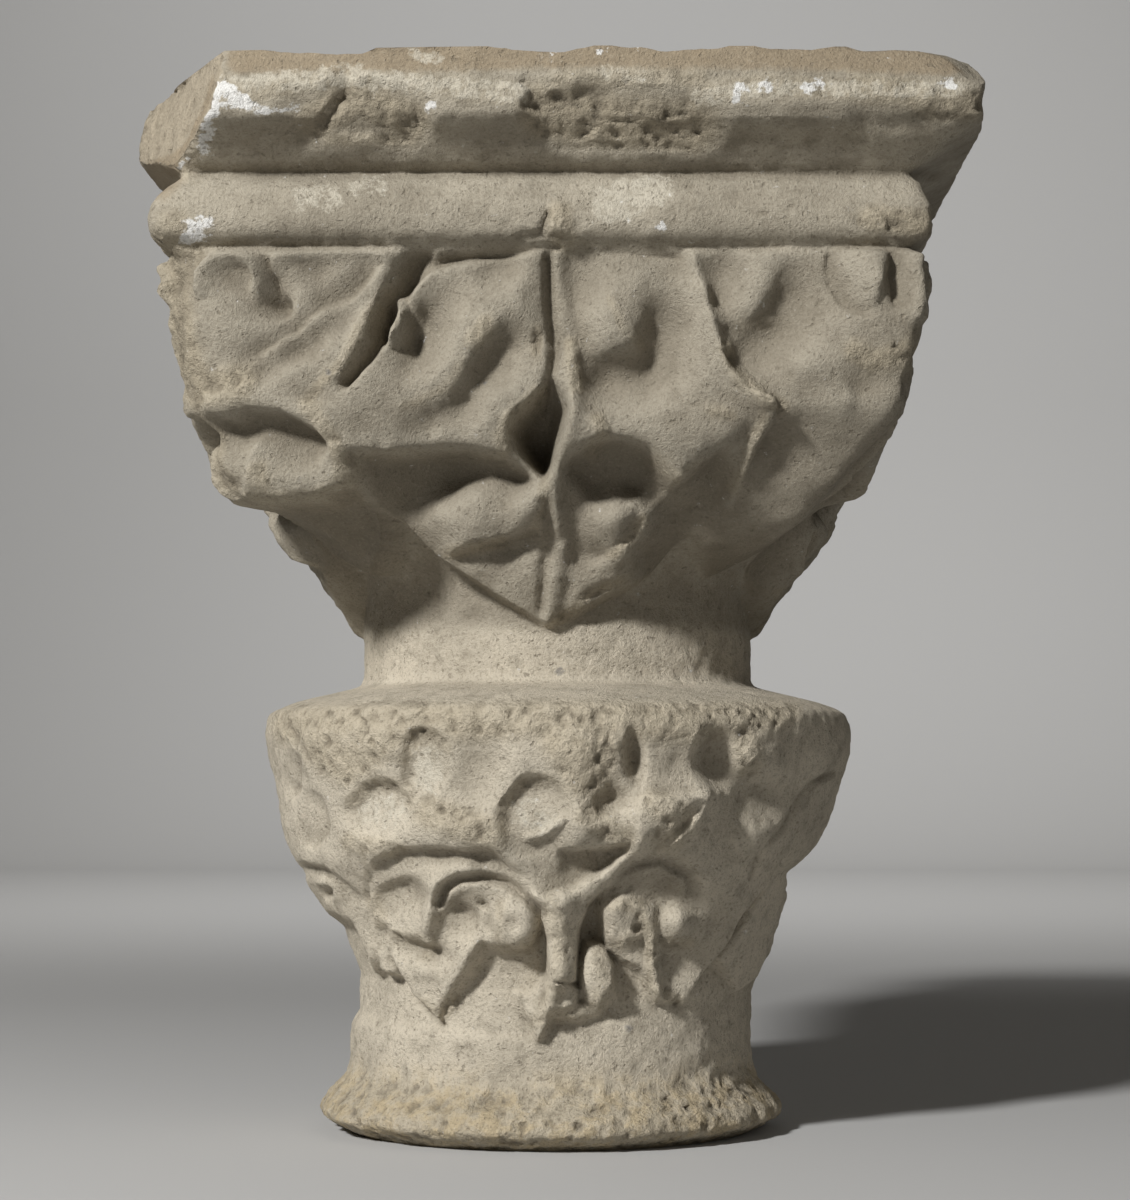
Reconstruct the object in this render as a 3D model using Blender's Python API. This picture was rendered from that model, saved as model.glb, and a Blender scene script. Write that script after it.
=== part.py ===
"""Double capital: a square moulded capital above a smaller round one, carved from a single stone block.

Metres, +Z up. The origin is the centre of the bottom bed, and -Y is the carved front.
The block is one closed skin r(azimuth, height): a stack of rings, each with a half width and a corner
ratio (1 for a circle, the square root of 2 for a square). The carving is added to that radius as dishes,
ridges and raised leaves, whose places are shares of their own band.
"""

import math
from typing import NamedTuple

import bmesh
import bpy
import numpy as np

# Heights of the bands, from the bottom bed upwards.
ASTRAGAL_HEIGHT = 0.024
LOWER_BELL_HEIGHT = 0.131
LEDGE_HEIGHT = 0.009
NECK_HEIGHT = 0.020
UPPER_BELL_HEIGHT = 0.126
TORUS_HEIGHT = 0.027
CHAMFER_HEIGHT = 0.014
FILLET_HEIGHT = 0.022

# Half widths of the bands.
BED_RADIUS = 0.075
ASTRAGAL_RADIUS = 0.087
LOWER_NECK_RADIUS = 0.0745
LOWER_BELL_RADIUS = 0.110
NECK_RADIUS = 0.0735
UPPER_BELL_HALF_WIDTH = 0.122
TORUS_HALF_WIDTH = 0.1315
CHAMFER_HALF_WIDTH = 0.128
ABACUS_HALF_WIDTH = 0.149

# The carving. A span is where something starts and ends, then over how much it fades in and out.
CARVE_DEPTH = 0.010
LEAF_THICKNESS = 0.006
GROUND_DEPTH = 0.7 * LEAF_THICKNESS
RIB_SPREAD = 1.5
CORNER_ROUNDING = 0.02
HIDDEN_SIDE_CARVING = 0.8
FRONT_HALF_ANGLE = 0.27 * math.pi
UPPER_RELIEF_SPAN = (0.0, 1.0, 0.04, 0.03)
LEAF_TIP_LIMIT = 0.6
LEAF_TIP_RISE = 0.24
LEAF_TIP_CURVE = 1.25
LEAF_TIP_EDGE = 0.06
LOWER_LEAF_START = 0.10
LOWER_GROUND_SPAN = (-0.02, 0.62, 0.12, 0.12)
LOWER_RELIEF_SPAN = (-0.05, 1.0, 0.06, 0.05)

# What is uneven, worn or broken.
LEFT_SWELL = 0.0065
SWELL_AZIMUTH = math.radians(-60.0)
SWELL_START = 0.02
SWELL_FADES = (0.04, 0.01)
FOOT_SHIFT = 0.0025
FOOT_FADE = 0.03
WEAR = 0.0016
WORN_FOOT_FADE = 0.012
WORN_LIP_SPAN = (-0.030, 0.004, 0.02, 0.006)
CHIP_DEPTH = 0.0065
CHIP_SPANS = ((-0.54, -0.32), (-0.07, 0.37), (0.72, 0.95))
CHIP_FADE = 0.07
CHIP_RAGGEDNESS = 0.05
CHIPPED_EDGE_SPAN = (-0.3, 0.75, 0.35, 0.6)
BREAK_AZIMUTH = math.radians(-63.8)
BREAK_REACH = 0.160
BREAK_SLOPE = 0.28
BREAK_FACING = 0.2
BREAK_CLEARANCE = 0.0005

# The resolution of the skin before it is thinned, and of the faceted solid.
COLUMNS = 320
ROWS = 260
SOLID_TRIANGLES = 9400
BED_TOLERANCE = 0.0006

ROUND = 1.0
SQUARE = math.sqrt(2.0)
STONE_COLOUR = (0.42, 0.37, 0.30, 1.0)
STONE_ROUGHNESS = 0.9


class Ring(NamedTuple):
    """One level of the block: its height, its half width, and its corner ratio."""

    height: float
    half_width: float
    corner: float


def band_levels():
    """The height at which each band starts, and last the height of the top bed."""
    heights = (ASTRAGAL_HEIGHT, LOWER_BELL_HEIGHT, LEDGE_HEIGHT, NECK_HEIGHT,
               UPPER_BELL_HEIGHT, TORUS_HEIGHT, CHAMFER_HEIGHT, FILLET_HEIGHT)
    return np.concatenate([[0.0], np.cumsum(heights)])


def rings_between(low, band_height, from_width, to_width, shares):
    """Rings at (height share, growth share, corner ratio) of a band that grows between two half widths."""
    return [
        Ring(low + up * band_height, from_width + grow * (to_width - from_width), corner)
        for up, grow, corner in shares
    ]


def profile():
    """Every ring of the block, bottom to top."""
    levels = band_levels()
    rings = rings_between(levels[0], ASTRAGAL_HEIGHT, BED_RADIUS, ASTRAGAL_RADIUS, [
        (0.00, 0.00, ROUND), (0.13, 0.55, ROUND), (0.27, 1.00, ROUND),
        (0.45, 0.86, ROUND), (0.60, 0.58, ROUND), (0.80, 0.20, ROUND),
    ])
    rings += rings_between(levels[1], LOWER_BELL_HEIGHT, LOWER_NECK_RADIUS, LOWER_BELL_RADIUS, [
        (0.00, 0.02, ROUND), (0.20, 0.02, ROUND), (0.25, 0.09, ROUND), (0.31, 0.18, ROUND),
        (0.40, 0.31, ROUND), (0.50, 0.50, ROUND), (0.58, 0.68, ROUND), (0.68, 0.82, ROUND),
        (0.80, 0.91, ROUND), (0.88, 0.99, ROUND), (0.94, 1.00, ROUND), (0.98, 0.97, ROUND),
        (1.00, 0.93, ROUND),
    ])
    rings += rings_between(levels[2], LEDGE_HEIGHT, LOWER_BELL_RADIUS, NECK_RADIUS, [
        (0.40, 0.30, ROUND), (0.80, 0.72, ROUND), (1.00, 0.96, ROUND),
    ])
    rings += rings_between(levels[3], NECK_HEIGHT, NECK_RADIUS, UPPER_BELL_HALF_WIDTH, [
        (0.15, 0.00, ROUND), (0.90, 0.00, ROUND),
    ])
    rings += rings_between(levels[4], UPPER_BELL_HEIGHT, NECK_RADIUS, UPPER_BELL_HALF_WIDTH, [
        (0.03, 0.07, ROUND), (0.08, 0.14, 1.02), (0.11, 0.20, 1.05), (0.14, 0.28, 1.08),
        (0.18, 0.38, 1.15), (0.23, 0.49, 1.28), (0.29, 0.59, 1.37), (0.38, 0.71, 1.43),
        (0.55, 0.86, 1.45), (0.68, 0.94, 1.46), (0.80, 0.99, 1.46), (0.97, 1.00, 1.45),
    ])
    rings += rings_between(levels[5], TORUS_HEIGHT, UPPER_BELL_HALF_WIDTH, TORUS_HALF_WIDTH, [
        (0.00, 0.20, SQUARE), (0.06, 0.62, SQUARE), (0.16, 0.92, SQUARE), (0.32, 1.00, SQUARE),
        (0.50, 0.92, SQUARE), (0.66, 0.70, SQUARE), (0.84, 0.50, SQUARE), (0.97, 0.45, SQUARE),
    ])
    rings += rings_between(levels[6], CHAMFER_HEIGHT, CHAMFER_HALF_WIDTH, ABACUS_HALF_WIDTH, [
        (0.05, 0.00, SQUARE), (0.50, 0.42, SQUARE), (0.95, 0.96, SQUARE),
    ])
    rings += rings_between(levels[7], FILLET_HEIGHT, CHAMFER_HALF_WIDTH, ABACUS_HALF_WIDTH, [
        (0.10, 1.00, SQUARE), (0.55, 1.00, 1.40), (1.00, 0.92, 1.36),
    ])
    return rings


def folded(azimuth, period):
    """Azimuth brought into one front period by mirroring, so that the sides repeat the front."""
    return 0.5 * period - np.abs((azimuth + 0.5 * period) % (2.0 * period) - period)


def smooth_step(value):
    """0 below 0, 1 above 1, and a smooth rise between them."""
    t = np.clip(value, 0.0, 1.0)
    return t * t * (3.0 - 2.0 * t)


def within(value, start, end, fade_in, fade_out):
    """1 inside a span and 0 outside it, with a smooth fade at each end."""
    return smooth_step((value - start) / fade_in) * smooth_step((end - value) / fade_out)


def wrapped_noise(azimuth, height, cells, layers, seed):
    """Smooth pseudo-random bumps in -1..1 that close round the block: a sum of seeded plane waves."""
    rng = np.random.default_rng(seed)
    total = np.zeros(np.broadcast(azimuth, height).shape)
    for _ in range(layers):
        around = rng.integers(-cells, cells + 1)
        rise = rng.uniform(-1.0, 1.0) * cells / LOWER_BELL_RADIUS
        total += np.sin(around * azimuth + rise * height + rng.uniform(0.0, 2.0 * math.pi))
    return total / math.sqrt(layers)


class Carving:
    """The relief of one band, in metres, on the band's own across and up coordinates, also in metres."""

    def __init__(self, across, up, width, height):
        self.across = across
        self.up = up
        self.width = width
        self.height = height
        self.relief = np.zeros(across.shape)

    def dish(self, centre, radii, depth, crisp=2.0):
        """An oval hollow (a negative depth raises a boss); a higher crisp gives it a sharper rim."""
        x = (self.across - centre[0] * self.width) / (radii[0] * self.width)
        z = (self.up - centre[1] * self.height) / (radii[1] * self.height)
        bowl = np.clip(1.0 - (x * x + z * z) ** (0.5 * crisp), 0.0, 1.0)
        self.relief -= depth * CARVE_DEPTH * bowl

    def distance(self, points):
        """Distance in metres to a line through points given as shares of the band."""
        nearest = np.full(self.across.shape, 1.0)
        scaled = [(x * self.width, z * self.height) for x, z in points]
        for (x0, z0), (x1, z1) in zip(scaled, scaled[1:]):
            dx, dz = x1 - x0, z1 - z0
            along = ((self.across - x0) * dx + (self.up - z0) * dz) / (dx * dx + dz * dz)
            along = np.clip(along, 0.0, 1.0)
            gap = np.hypot(self.across - x0 - along * dx, self.up - z0 - along * dz)
            nearest = np.minimum(nearest, gap)
        return nearest

    def ridge(self, points, half_width, rise):
        """A rounded rib along a line, or a groove where the rise is negative."""
        away = self.distance(points) / (RIB_SPREAD * half_width * self.width)
        self.relief += rise * CARVE_DEPTH * np.clip(1.0 - away * away, 0.0, 1.0) ** 1.5

    def leaf(self, outline, edge, rise):
        """A raised leaf: everything inside an outline, with an edge that slopes over its own width."""
        inside = np.zeros(self.across.shape, bool)
        scaled = [(x * self.width, z * self.height) for x, z in outline]
        for (x0, z0), (x1, z1) in zip(scaled, scaled[1:] + scaled[:1]):
            crosses = (z0 > self.up) != (z1 > self.up)
            reach = x0 + (self.up - z0) * (x1 - x0) / (z1 - z0 if z1 != z0 else 1.0e-9)
            inside ^= crosses & (self.across < reach)
        gap = self.distance(list(outline) + [outline[0]])
        signed = np.where(inside, gap, -gap)
        self.relief += rise * LEAF_THICKNESS * smooth_step(0.5 + signed / (edge * self.width))


def carve_upper(band):
    """The upper leaves: a broad central leaf, and a corner leaf with a curled end at each side."""
    band.ridge([(0.00, 1.00), (0.01, 0.78), (-0.01, 0.63)], 0.035, -0.55)
    band.dish((-0.02, 0.51), (0.085, 0.125), 1.15)
    band.ridge([(0.00, 0.39), (-0.01, 0.20), (-0.02, 0.03)], 0.035, 0.45)
    band.ridge([(0.03, 0.94), (0.05, 0.76), (0.02, 0.67), (0.10, 0.54), (0.03, 0.38)], 0.040, 0.35)

    band.ridge([(-0.35, 1.00), (-0.42, 0.87), (-0.49, 0.75), (-0.60, 0.63)], 0.050, -0.85)
    band.ridge([(-0.42, 0.86), (-0.42, 0.76)], 0.035, 0.70)
    band.dish((-0.35, 0.76), (0.055, 0.080), 0.55)
    band.ridge([(-0.06, 0.94), (-0.20, 0.76), (-0.27, 0.65), (-0.40, 0.57), (-0.52, 0.55)], 0.075, 0.40)
    band.dish((-0.16, 0.63), (0.10, 0.09), 0.45)
    band.dish((-0.27, 0.86), (0.13, 0.09), 0.35)
    band.dish((-0.22, 0.36), (0.14, 0.09), 0.65)
    band.dish((-0.20, 0.21), (0.12, 0.07), 0.40)
    band.ridge([(-0.48, 0.44), (-0.30, 0.45), (-0.12, 0.42)], 0.060, 0.35)

    band.dish((-0.75, 0.85), (0.085, 0.085), 0.60)
    band.ridge([(-0.77, 0.99), (-0.75, 0.93), (-0.79, 0.87)], 0.030, -0.40)
    band.ridge([(-0.41, 0.98), (-0.51, 0.79), (-0.64, 0.64)], 0.040, 0.40)
    band.ridge([(-0.50, 0.92), (-0.61, 0.83), (-0.77, 0.71), (-0.88, 0.68)], 0.060, 0.35)
    band.dish((-0.62, 0.70), (0.09, 0.07), 0.40)
    band.dish((-0.82, 0.52), (0.14, 0.055), 0.95)
    band.dish((-0.80, 0.41), (0.13, 0.075), 0.70)
    band.ridge([(-0.98, 0.34), (-0.82, 0.30), (-0.68, 0.29)], 0.050, 0.40)
    band.ridge([(-0.62, 0.60), (-0.66, 0.45), (-0.70, 0.33)], 0.040, 0.45)

    band.dish((0.15, 0.83), (0.13, 0.12), -0.45)
    band.dish((0.30, 0.79), (0.10, 0.14), 1.00)
    band.dish((0.21, 0.64), (0.17, 0.06), 0.60)
    band.ridge([(0.39, 0.99), (0.43, 0.84), (0.47, 0.71), (0.60, 0.59)], 0.045, 0.55)
    band.dish((0.63, 0.58), (0.06, 0.05), -0.50)
    band.ridge([(0.59, 0.57), (0.59, 0.49), (0.61, 0.35)], 0.035, 0.55)
    band.ridge([(0.10, 0.53), (0.25, 0.49), (0.39, 0.41), (0.53, 0.53)], 0.060, 0.45)
    band.dish((0.20, 0.41), (0.17, 0.085), 1.00)
    band.dish((0.34, 0.29), (0.12, 0.04), -0.35)
    band.dish((0.15, 0.22), (0.10, 0.07), 0.55)

    band.dish((0.66, 0.81), (0.13, 0.13), 0.85)
    band.ridge([(0.50, 0.72), (0.60, 0.70), (0.72, 0.73)], 0.035, -0.30)
    band.dish((0.82, 0.92), (0.10, 0.10), -0.85)
    band.dish((0.85, 0.88), (0.035, 0.045), 0.60)
    band.ridge([(0.97, 1.00), (0.96, 0.85), (0.94, 0.74)], 0.045, 0.45)
    band.dish((0.80, 0.42), (0.17, 0.20), 0.75)


def upper_leaf_edge(across, up, width, height):
    """How far each point is covered by the upper leaves: pointed tips at mid face, arches at the corners."""
    share = np.abs(np.arctan2(across, width)) / (0.25 * math.pi)
    arch = np.sin(0.5 * math.pi * np.clip(share, 0.0, 1.0)) ** LEAF_TIP_CURVE
    return smooth_step((up - LEAF_TIP_RISE * height * arch) / (LEAF_TIP_EDGE * height))


def carve_lower(band):
    """The leaves of the lower capital: worn lobes with hollows above, and curled tips hanging below."""
    band.leaf([(-0.45, 0.52), (-0.48, 0.30), (-0.43, 0.15), (-0.36, 0.04), (-0.27, 0.13), (-0.20, 0.22),
               (-0.13, 0.31), (-0.20, 0.50), (-0.32, 0.56)], 0.03, 1.0)
    band.leaf([(0.58, 0.55), (0.60, 0.34), (0.52, 0.20), (0.44, 0.10), (0.36, 0.14), (0.30, 0.12),
               (0.25, 0.22), (0.15, 0.34), (0.18, 0.50), (0.35, 0.60)], 0.03, 1.0)
    band.leaf([(-0.95, 0.55), (-0.85, 0.30), (-0.66, 0.10), (-0.57, 0.22), (-0.55, 0.45), (-0.75, 0.60)],
              0.03, 0.9)
    band.leaf([(0.68, 0.55), (0.72, 0.30), (0.84, 0.10), (0.96, 0.30), (0.99, 0.55), (0.80, 0.60)],
              0.03, 0.9)
    band.dish((-0.25, 0.81), (0.075, 0.13), 0.65, 3.0)
    band.dish((-0.39, 0.67), (0.095, 0.12), 0.75, 3.0)
    band.dish((-0.03, 0.70), (0.085, 0.10), 0.70, 3.0)
    band.dish((0.01, 0.64), (0.040, 0.035), -0.40)
    band.dish((0.18, 0.84), (0.030, 0.090), 0.75, 3.0)
    band.dish((0.37, 0.86), (0.055, 0.085), 0.85)
    band.dish((-0.62, 0.68), (0.080, 0.15), 0.60)
    band.dish((-0.86, 0.70), (0.070, 0.15), 0.60)
    band.dish((0.52, 0.66), (0.100, 0.13), 0.65)
    band.dish((0.78, 0.72), (0.070, 0.15), 0.60)
    band.dish((0.10, 0.75), (0.060, 0.10), -0.35)
    band.dish((-0.12, 0.62), (0.060, 0.12), -0.35)
    band.ridge([(0.36, 0.76), (0.27, 0.60), (0.18, 0.56), (0.12, 0.48), (0.05, 0.40), (0.04, 0.17)],
               0.030, 0.65)
    band.dish((0.07, 0.53), (0.100, 0.045), 0.75)
    band.dish((-0.41, 0.39), (0.055, 0.085), 0.65)
    band.dish((-0.26, 0.34), (0.055, 0.090), 0.65)
    band.dish((-0.36, 0.13), (0.030, 0.045), 0.35)
    band.ridge([(-0.46, 0.52), (-0.29, 0.49), (-0.18, 0.51), (-0.08, 0.46), (-0.02, 0.38)], 0.030, 0.50)
    band.dish((-0.09, 0.36), (0.055, 0.075), -0.70, 3.0)
    band.dish((-0.16, 0.42), (0.020, 0.025), 0.50)
    band.ridge([(0.04, 0.20), (-0.03, 0.11), (0.02, 0.07), (0.10, 0.09), (0.15, 0.16), (0.13, 0.26)],
               0.030, 0.75)
    band.ridge([(-0.03, 0.11), (-0.03, 0.01)], 0.025, 0.45)
    band.dish((0.19, 0.35), (0.050, 0.060), -0.45)
    band.ridge([(0.25, 0.42), (0.27, 0.28), (0.29, 0.15)], 0.022, 0.45)
    band.dish((0.34, 0.36), (0.045, 0.055), -0.40)
    band.dish((0.46, 0.42), (0.070, 0.110), 0.45)


def bare_radius(azimuth, height):
    """The radius of the uncarved block: straight lines between the rings, reaching out at the corners."""
    rings = profile()
    ring_heights = [ring.height for ring in rings]
    half_width = np.interp(height, ring_heights, [ring.half_width for ring in rings])
    corner = np.interp(height, ring_heights, [ring.corner for ring in rings])
    from_corner = 0.25 * math.pi - np.abs(folded(azimuth, 0.5 * math.pi))
    softened = 0.25 * math.pi - np.hypot(from_corner, CORNER_ROUNDING)
    square_share = (1.0 / np.cos(np.clip(softened, 0.0, None)) - 1.0) / (SQUARE - 1.0)
    return half_width * (1.0 + (corner - 1.0) * square_share)


def with_upper_leaves(radius, azimuth, height, strength):
    """The radius with the upper bell's leaves, which end over the neck in tips and arches."""
    low = band_levels()[4]
    across = np.tan(folded(azimuth, 0.5 * math.pi)) * UPPER_BELL_HALF_WIDTH
    band = Carving(across, height - low, UPPER_BELL_HALF_WIDTH, UPPER_BELL_HEIGHT)
    carve_upper(band)
    share = (height - low) / UPPER_BELL_HEIGHT
    leafy = radius + band.relief * within(share, *UPPER_RELIEF_SPAN) * strength
    cover = upper_leaf_edge(band.across, band.up, band.width, band.height)
    over_neck = (share > 0.0) & (share < LEAF_TIP_LIMIT)
    return np.where(over_neck, NECK_RADIUS + (leafy - NECK_RADIUS) * cover, leafy)


def with_lower_leaves(radius, azimuth, height, strength):
    """The radius with the lower capital's leaves, and with the ground between them sunk to its neck."""
    low = band_levels()[1] + LOWER_LEAF_START * LOWER_BELL_HEIGHT
    tall = (1.0 - LOWER_LEAF_START) * LOWER_BELL_HEIGHT
    across = folded(azimuth, math.pi) * LOWER_BELL_RADIUS
    band = Carving(across, height - low, 0.5 * math.pi * LOWER_BELL_RADIUS, tall)
    carve_lower(band)
    share = (height - low) / tall
    sunk = radius - GROUND_DEPTH * within(share, *LOWER_GROUND_SPAN)
    ground = np.maximum(sunk, np.minimum(radius, LOWER_NECK_RADIUS))
    return ground + within(share, *LOWER_RELIEF_SPAN) * strength * band.relief


def uneven(azimuth, height):
    """What the block has too much or too little: a fuller left side above, and a foot off the axis."""
    levels = band_levels()
    leftward = np.clip(np.cos(azimuth - SWELL_AZIMUTH), 0.0, 1.0) ** 2
    swell = within(height, levels[4] + SWELL_START, levels[6], *SWELL_FADES)
    foot = smooth_step((levels[2] - FOOT_FADE - height) / FOOT_FADE)
    return LEFT_SWELL * leftward * swell - FOOT_SHIFT * np.sin(azimuth) * foot


def worn(azimuth, height):
    """Wear on the collar of the foot, and on the top edge of the lower capital."""
    start, end, fade_in, fade_out = WORN_LIP_SPAN
    lip = band_levels()[2]
    rough = smooth_step((ASTRAGAL_HEIGHT - height) / WORN_FOOT_FADE)
    rough += within(height, lip + start, lip + end, fade_in, fade_out)
    return WEAR * rough * wrapped_noise(azimuth, height, 14, 24, 5)


def chipped(azimuth, height):
    """How deep the abacus's lower edge is chipped away."""
    along = np.tan(folded(azimuth, 0.5 * math.pi))
    ragged = CHIP_RAGGEDNESS * wrapped_noise(azimuth, height, 40, 16, 11)
    chips = np.zeros(along.shape)
    for start, end in CHIP_SPANS:
        chips += within(along, start - ragged, end + ragged, CHIP_FADE, CHIP_FADE)
    edge_share = (height - band_levels()[7]) / FILLET_HEIGHT
    return CHIP_DEPTH * chips * within(edge_share, *CHIPPED_EDGE_SPAN)


def broken_off(radius, azimuth, height):
    """The radius behind the leaning plane that has taken the near left corner of the abacus."""
    levels = band_levels()
    turned = np.cos(azimuth - BREAK_AZIMUTH)
    reach = BREAK_REACH + BREAK_SLOPE * (levels[8] - height)
    cut = reach / np.maximum(turned, BREAK_FACING)
    reached = (height > levels[6] + BREAK_CLEARANCE) & (turned > BREAK_FACING)
    return np.where(reached, np.minimum(radius, cut), radius)


def block_radius(azimuth, height):
    """The radius of the carved block over arrays of azimuth (0 at the front, towards +X) and height."""
    front = np.cos(azimuth) > math.cos(FRONT_HALF_ANGLE)
    strength = np.where(front, 1.0, HIDDEN_SIDE_CARVING)
    radius = bare_radius(azimuth, height)
    radius = with_upper_leaves(radius, azimuth, height, strength)
    radius = with_lower_leaves(radius, azimuth, height, strength)
    radius += uneven(azimuth, height) + worn(azimuth, height) - chipped(azimuth, height)
    return broken_off(radius, azimuth, height)


def skin_rows():
    """Row heights: every ring height, with even steps between, and both beds."""
    levels = band_levels()
    marks = np.array([ring.height for ring in profile()])
    rows = [marks[0]]
    step = levels[8] / ROWS
    for low, high in zip(marks, marks[1:]):
        count = max(1, int(math.ceil((high - low) / step)))
        rows.extend(np.linspace(low, high, count + 1)[1:])
    return np.array(rows)


def block_mesh(name):
    """The dense skin of the block as a closed mesh, with both beds flat."""
    rows = skin_rows()
    azimuth = np.linspace(-math.pi, math.pi, COLUMNS, endpoint=False)
    theta, z = np.meshgrid(azimuth, rows)
    r = block_radius(theta, z)
    points = np.stack([r * np.sin(theta), -r * np.cos(theta), z], axis=-1).reshape(-1, 3)
    mesh = bpy.data.meshes.new(name)
    first = np.arange(COLUMNS)
    after = (first + 1) % COLUMNS
    faces = []
    for row in range(len(rows) - 1):
        low = row * COLUMNS
        high = low + COLUMNS
        faces.extend(np.stack([low + first, low + after, high + after, high + first], axis=-1).tolist())
    faces.append(first[::-1].tolist())
    faces.append(((len(rows) - 1) * COLUMNS + first).tolist())
    mesh.from_pydata(points.tolist(), [], faces)
    mesh.update()
    return mesh


def thinned(mesh, name):
    """The same skin with fewer triangles, kept where the carving bends, and both beds made flat."""
    holder = bpy.data.objects.new(name + "_dense", mesh)
    bpy.context.scene.collection.objects.link(holder)
    triangles = sum(len(polygon.vertices) - 2 for polygon in mesh.polygons)
    thin = holder.modifiers.new("Thin", "DECIMATE")
    thin.ratio = SOLID_TRIANGLES / triangles
    thin.use_collapse_triangulate = True
    graph = bpy.context.evaluated_depsgraph_get()
    result = bpy.data.meshes.new_from_object(holder.evaluated_get(graph))
    result.name = name
    bpy.data.objects.remove(holder, do_unlink=True)
    top = band_levels()[-1]
    work = bmesh.new()
    work.from_mesh(result)
    for vert in work.verts:
        if abs(vert.co.z) < BED_TOLERANCE:
            vert.co.z = 0.0
        if abs(vert.co.z - top) < BED_TOLERANCE:
            vert.co.z = top
    bmesh.ops.recalc_face_normals(work, faces=work.faces[:])
    work.to_mesh(result)
    work.free()
    return result


def stone_material():
    """Warm grey-beige limestone, matt."""
    material = bpy.data.materials.new("Stone")
    material.use_nodes = True
    shader = material.node_tree.nodes["Principled BSDF"]
    shader.inputs["Base Color"].default_value = STONE_COLOUR
    shader.inputs["Roughness"].default_value = STONE_ROUGHNESS
    shader.inputs["Metallic"].default_value = 0.0
    return material


def main():
    """Clear the scene and build the block."""
    for obj in list(bpy.data.objects):
        bpy.data.objects.remove(obj, do_unlink=True)
    mesh = thinned(block_mesh("dense_skin"), "double_capital")
    mesh.materials.append(stone_material())
    block = bpy.data.objects.new("double_capital", mesh)
    bpy.context.scene.collection.objects.link(block)


main()
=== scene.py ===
"""Dresses the double capital: one block of carved limestone on a pale studio floor.

The block is worked out as a grid over azimuth and height. Its carving is addressed by photograph
position: every point of the block knows the column and row at which the photograph shows it, so a
groove or a lip is written with the picture's own columns and rows and a height in millimetres.
"""

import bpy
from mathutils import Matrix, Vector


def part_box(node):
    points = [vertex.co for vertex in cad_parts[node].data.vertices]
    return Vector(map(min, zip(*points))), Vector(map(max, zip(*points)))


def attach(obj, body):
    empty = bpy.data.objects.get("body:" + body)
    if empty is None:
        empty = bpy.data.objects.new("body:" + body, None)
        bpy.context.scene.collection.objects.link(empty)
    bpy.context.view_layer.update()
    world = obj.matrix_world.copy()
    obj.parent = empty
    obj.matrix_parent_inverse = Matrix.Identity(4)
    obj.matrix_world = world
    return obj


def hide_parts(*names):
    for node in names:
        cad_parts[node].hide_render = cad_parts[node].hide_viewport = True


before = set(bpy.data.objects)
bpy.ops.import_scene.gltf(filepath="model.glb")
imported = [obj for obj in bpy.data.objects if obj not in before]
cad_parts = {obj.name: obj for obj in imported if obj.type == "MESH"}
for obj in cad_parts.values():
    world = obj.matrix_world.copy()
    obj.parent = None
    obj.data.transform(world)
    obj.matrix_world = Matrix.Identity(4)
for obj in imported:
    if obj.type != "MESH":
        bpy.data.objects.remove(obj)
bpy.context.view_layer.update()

import logging
import math
from collections.abc import Callable
from dataclasses import dataclass
from enum import Enum, IntEnum
from typing import ClassVar

import bpy
import numpy as np
from mathutils import Matrix, Vector

LOG = logging.getLogger("double_capital")
# Carving heights are in millimetres, and all else is in metres.
MM = 0.001
NOISE_TABLE = 4096
NOISE_OFFSET = 1000.0
NOISE_PRIMES = (73856093, 19349663, 83492791)
LAYER_STRENGTH = 0.55
ROUND = 1.0
SQUARE = math.sqrt(2.0)
NODE = "double_capital"
# Field is an array of numbers, Path is a line of columns and rows, and a sounding adds a height.
Field = np.ndarray
Pair = tuple[float, float]
Triple = tuple[float, float, float]
Four = tuple[float, float, float, float]
Box = tuple[int, int, int, int]
Noise = tuple[float, int, int]
ThreeFields = tuple[Field, Field, Field]
Path = tuple[Pair, ...]
Soundings = tuple[Triple, ...]
Cuts = dict[str, tuple[Callable[..., None] | str | float | Pair | Path, ...]]
Strokes = dict[str, tuple[Path, float, float]]


class Repeat(Enum):
    """How often a band's carving comes back round the block."""

    QUARTERS = 4
    HALVES = 2


class Band(IntEnum):
    """The block's bands from the bottom up, as places in the list of levels."""

    FOOT = 0
    LOWER_BELL = 1
    LEDGE = 2
    NECK = 3
    UPPER_BELL = 4
    TORUS = 5
    CHAMFER = 6
    FILLET = 7
    TOP = 8


def smooth_step(value: Field) -> Field:
    """A smooth rise from 0 to 1: t squared times (3 minus 2 t), with t clipped to 0..1.

    Args:
        value: The unclipped t.

    Returns:
        The smoothed share.
    """
    t = np.clip(value, 0.0, 1.0)
    return t * t * (3.0 - 2.0 * t)


def within(value: Field, start: float, rise: float, end: float, fall: float) -> Field:
    """1 between a start and an end, with a smooth rise after the one and a smooth fall before the other.

    Args:
        value: What is measured.
        start: Where the rise starts.
        rise: How long it is.
        end: Where the fall ends.
        fall: How long it is.

    Returns:
        The share, 0 outside.
    """
    return smooth_step((value - start) / rise) * smooth_step((end - value) / fall)


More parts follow.
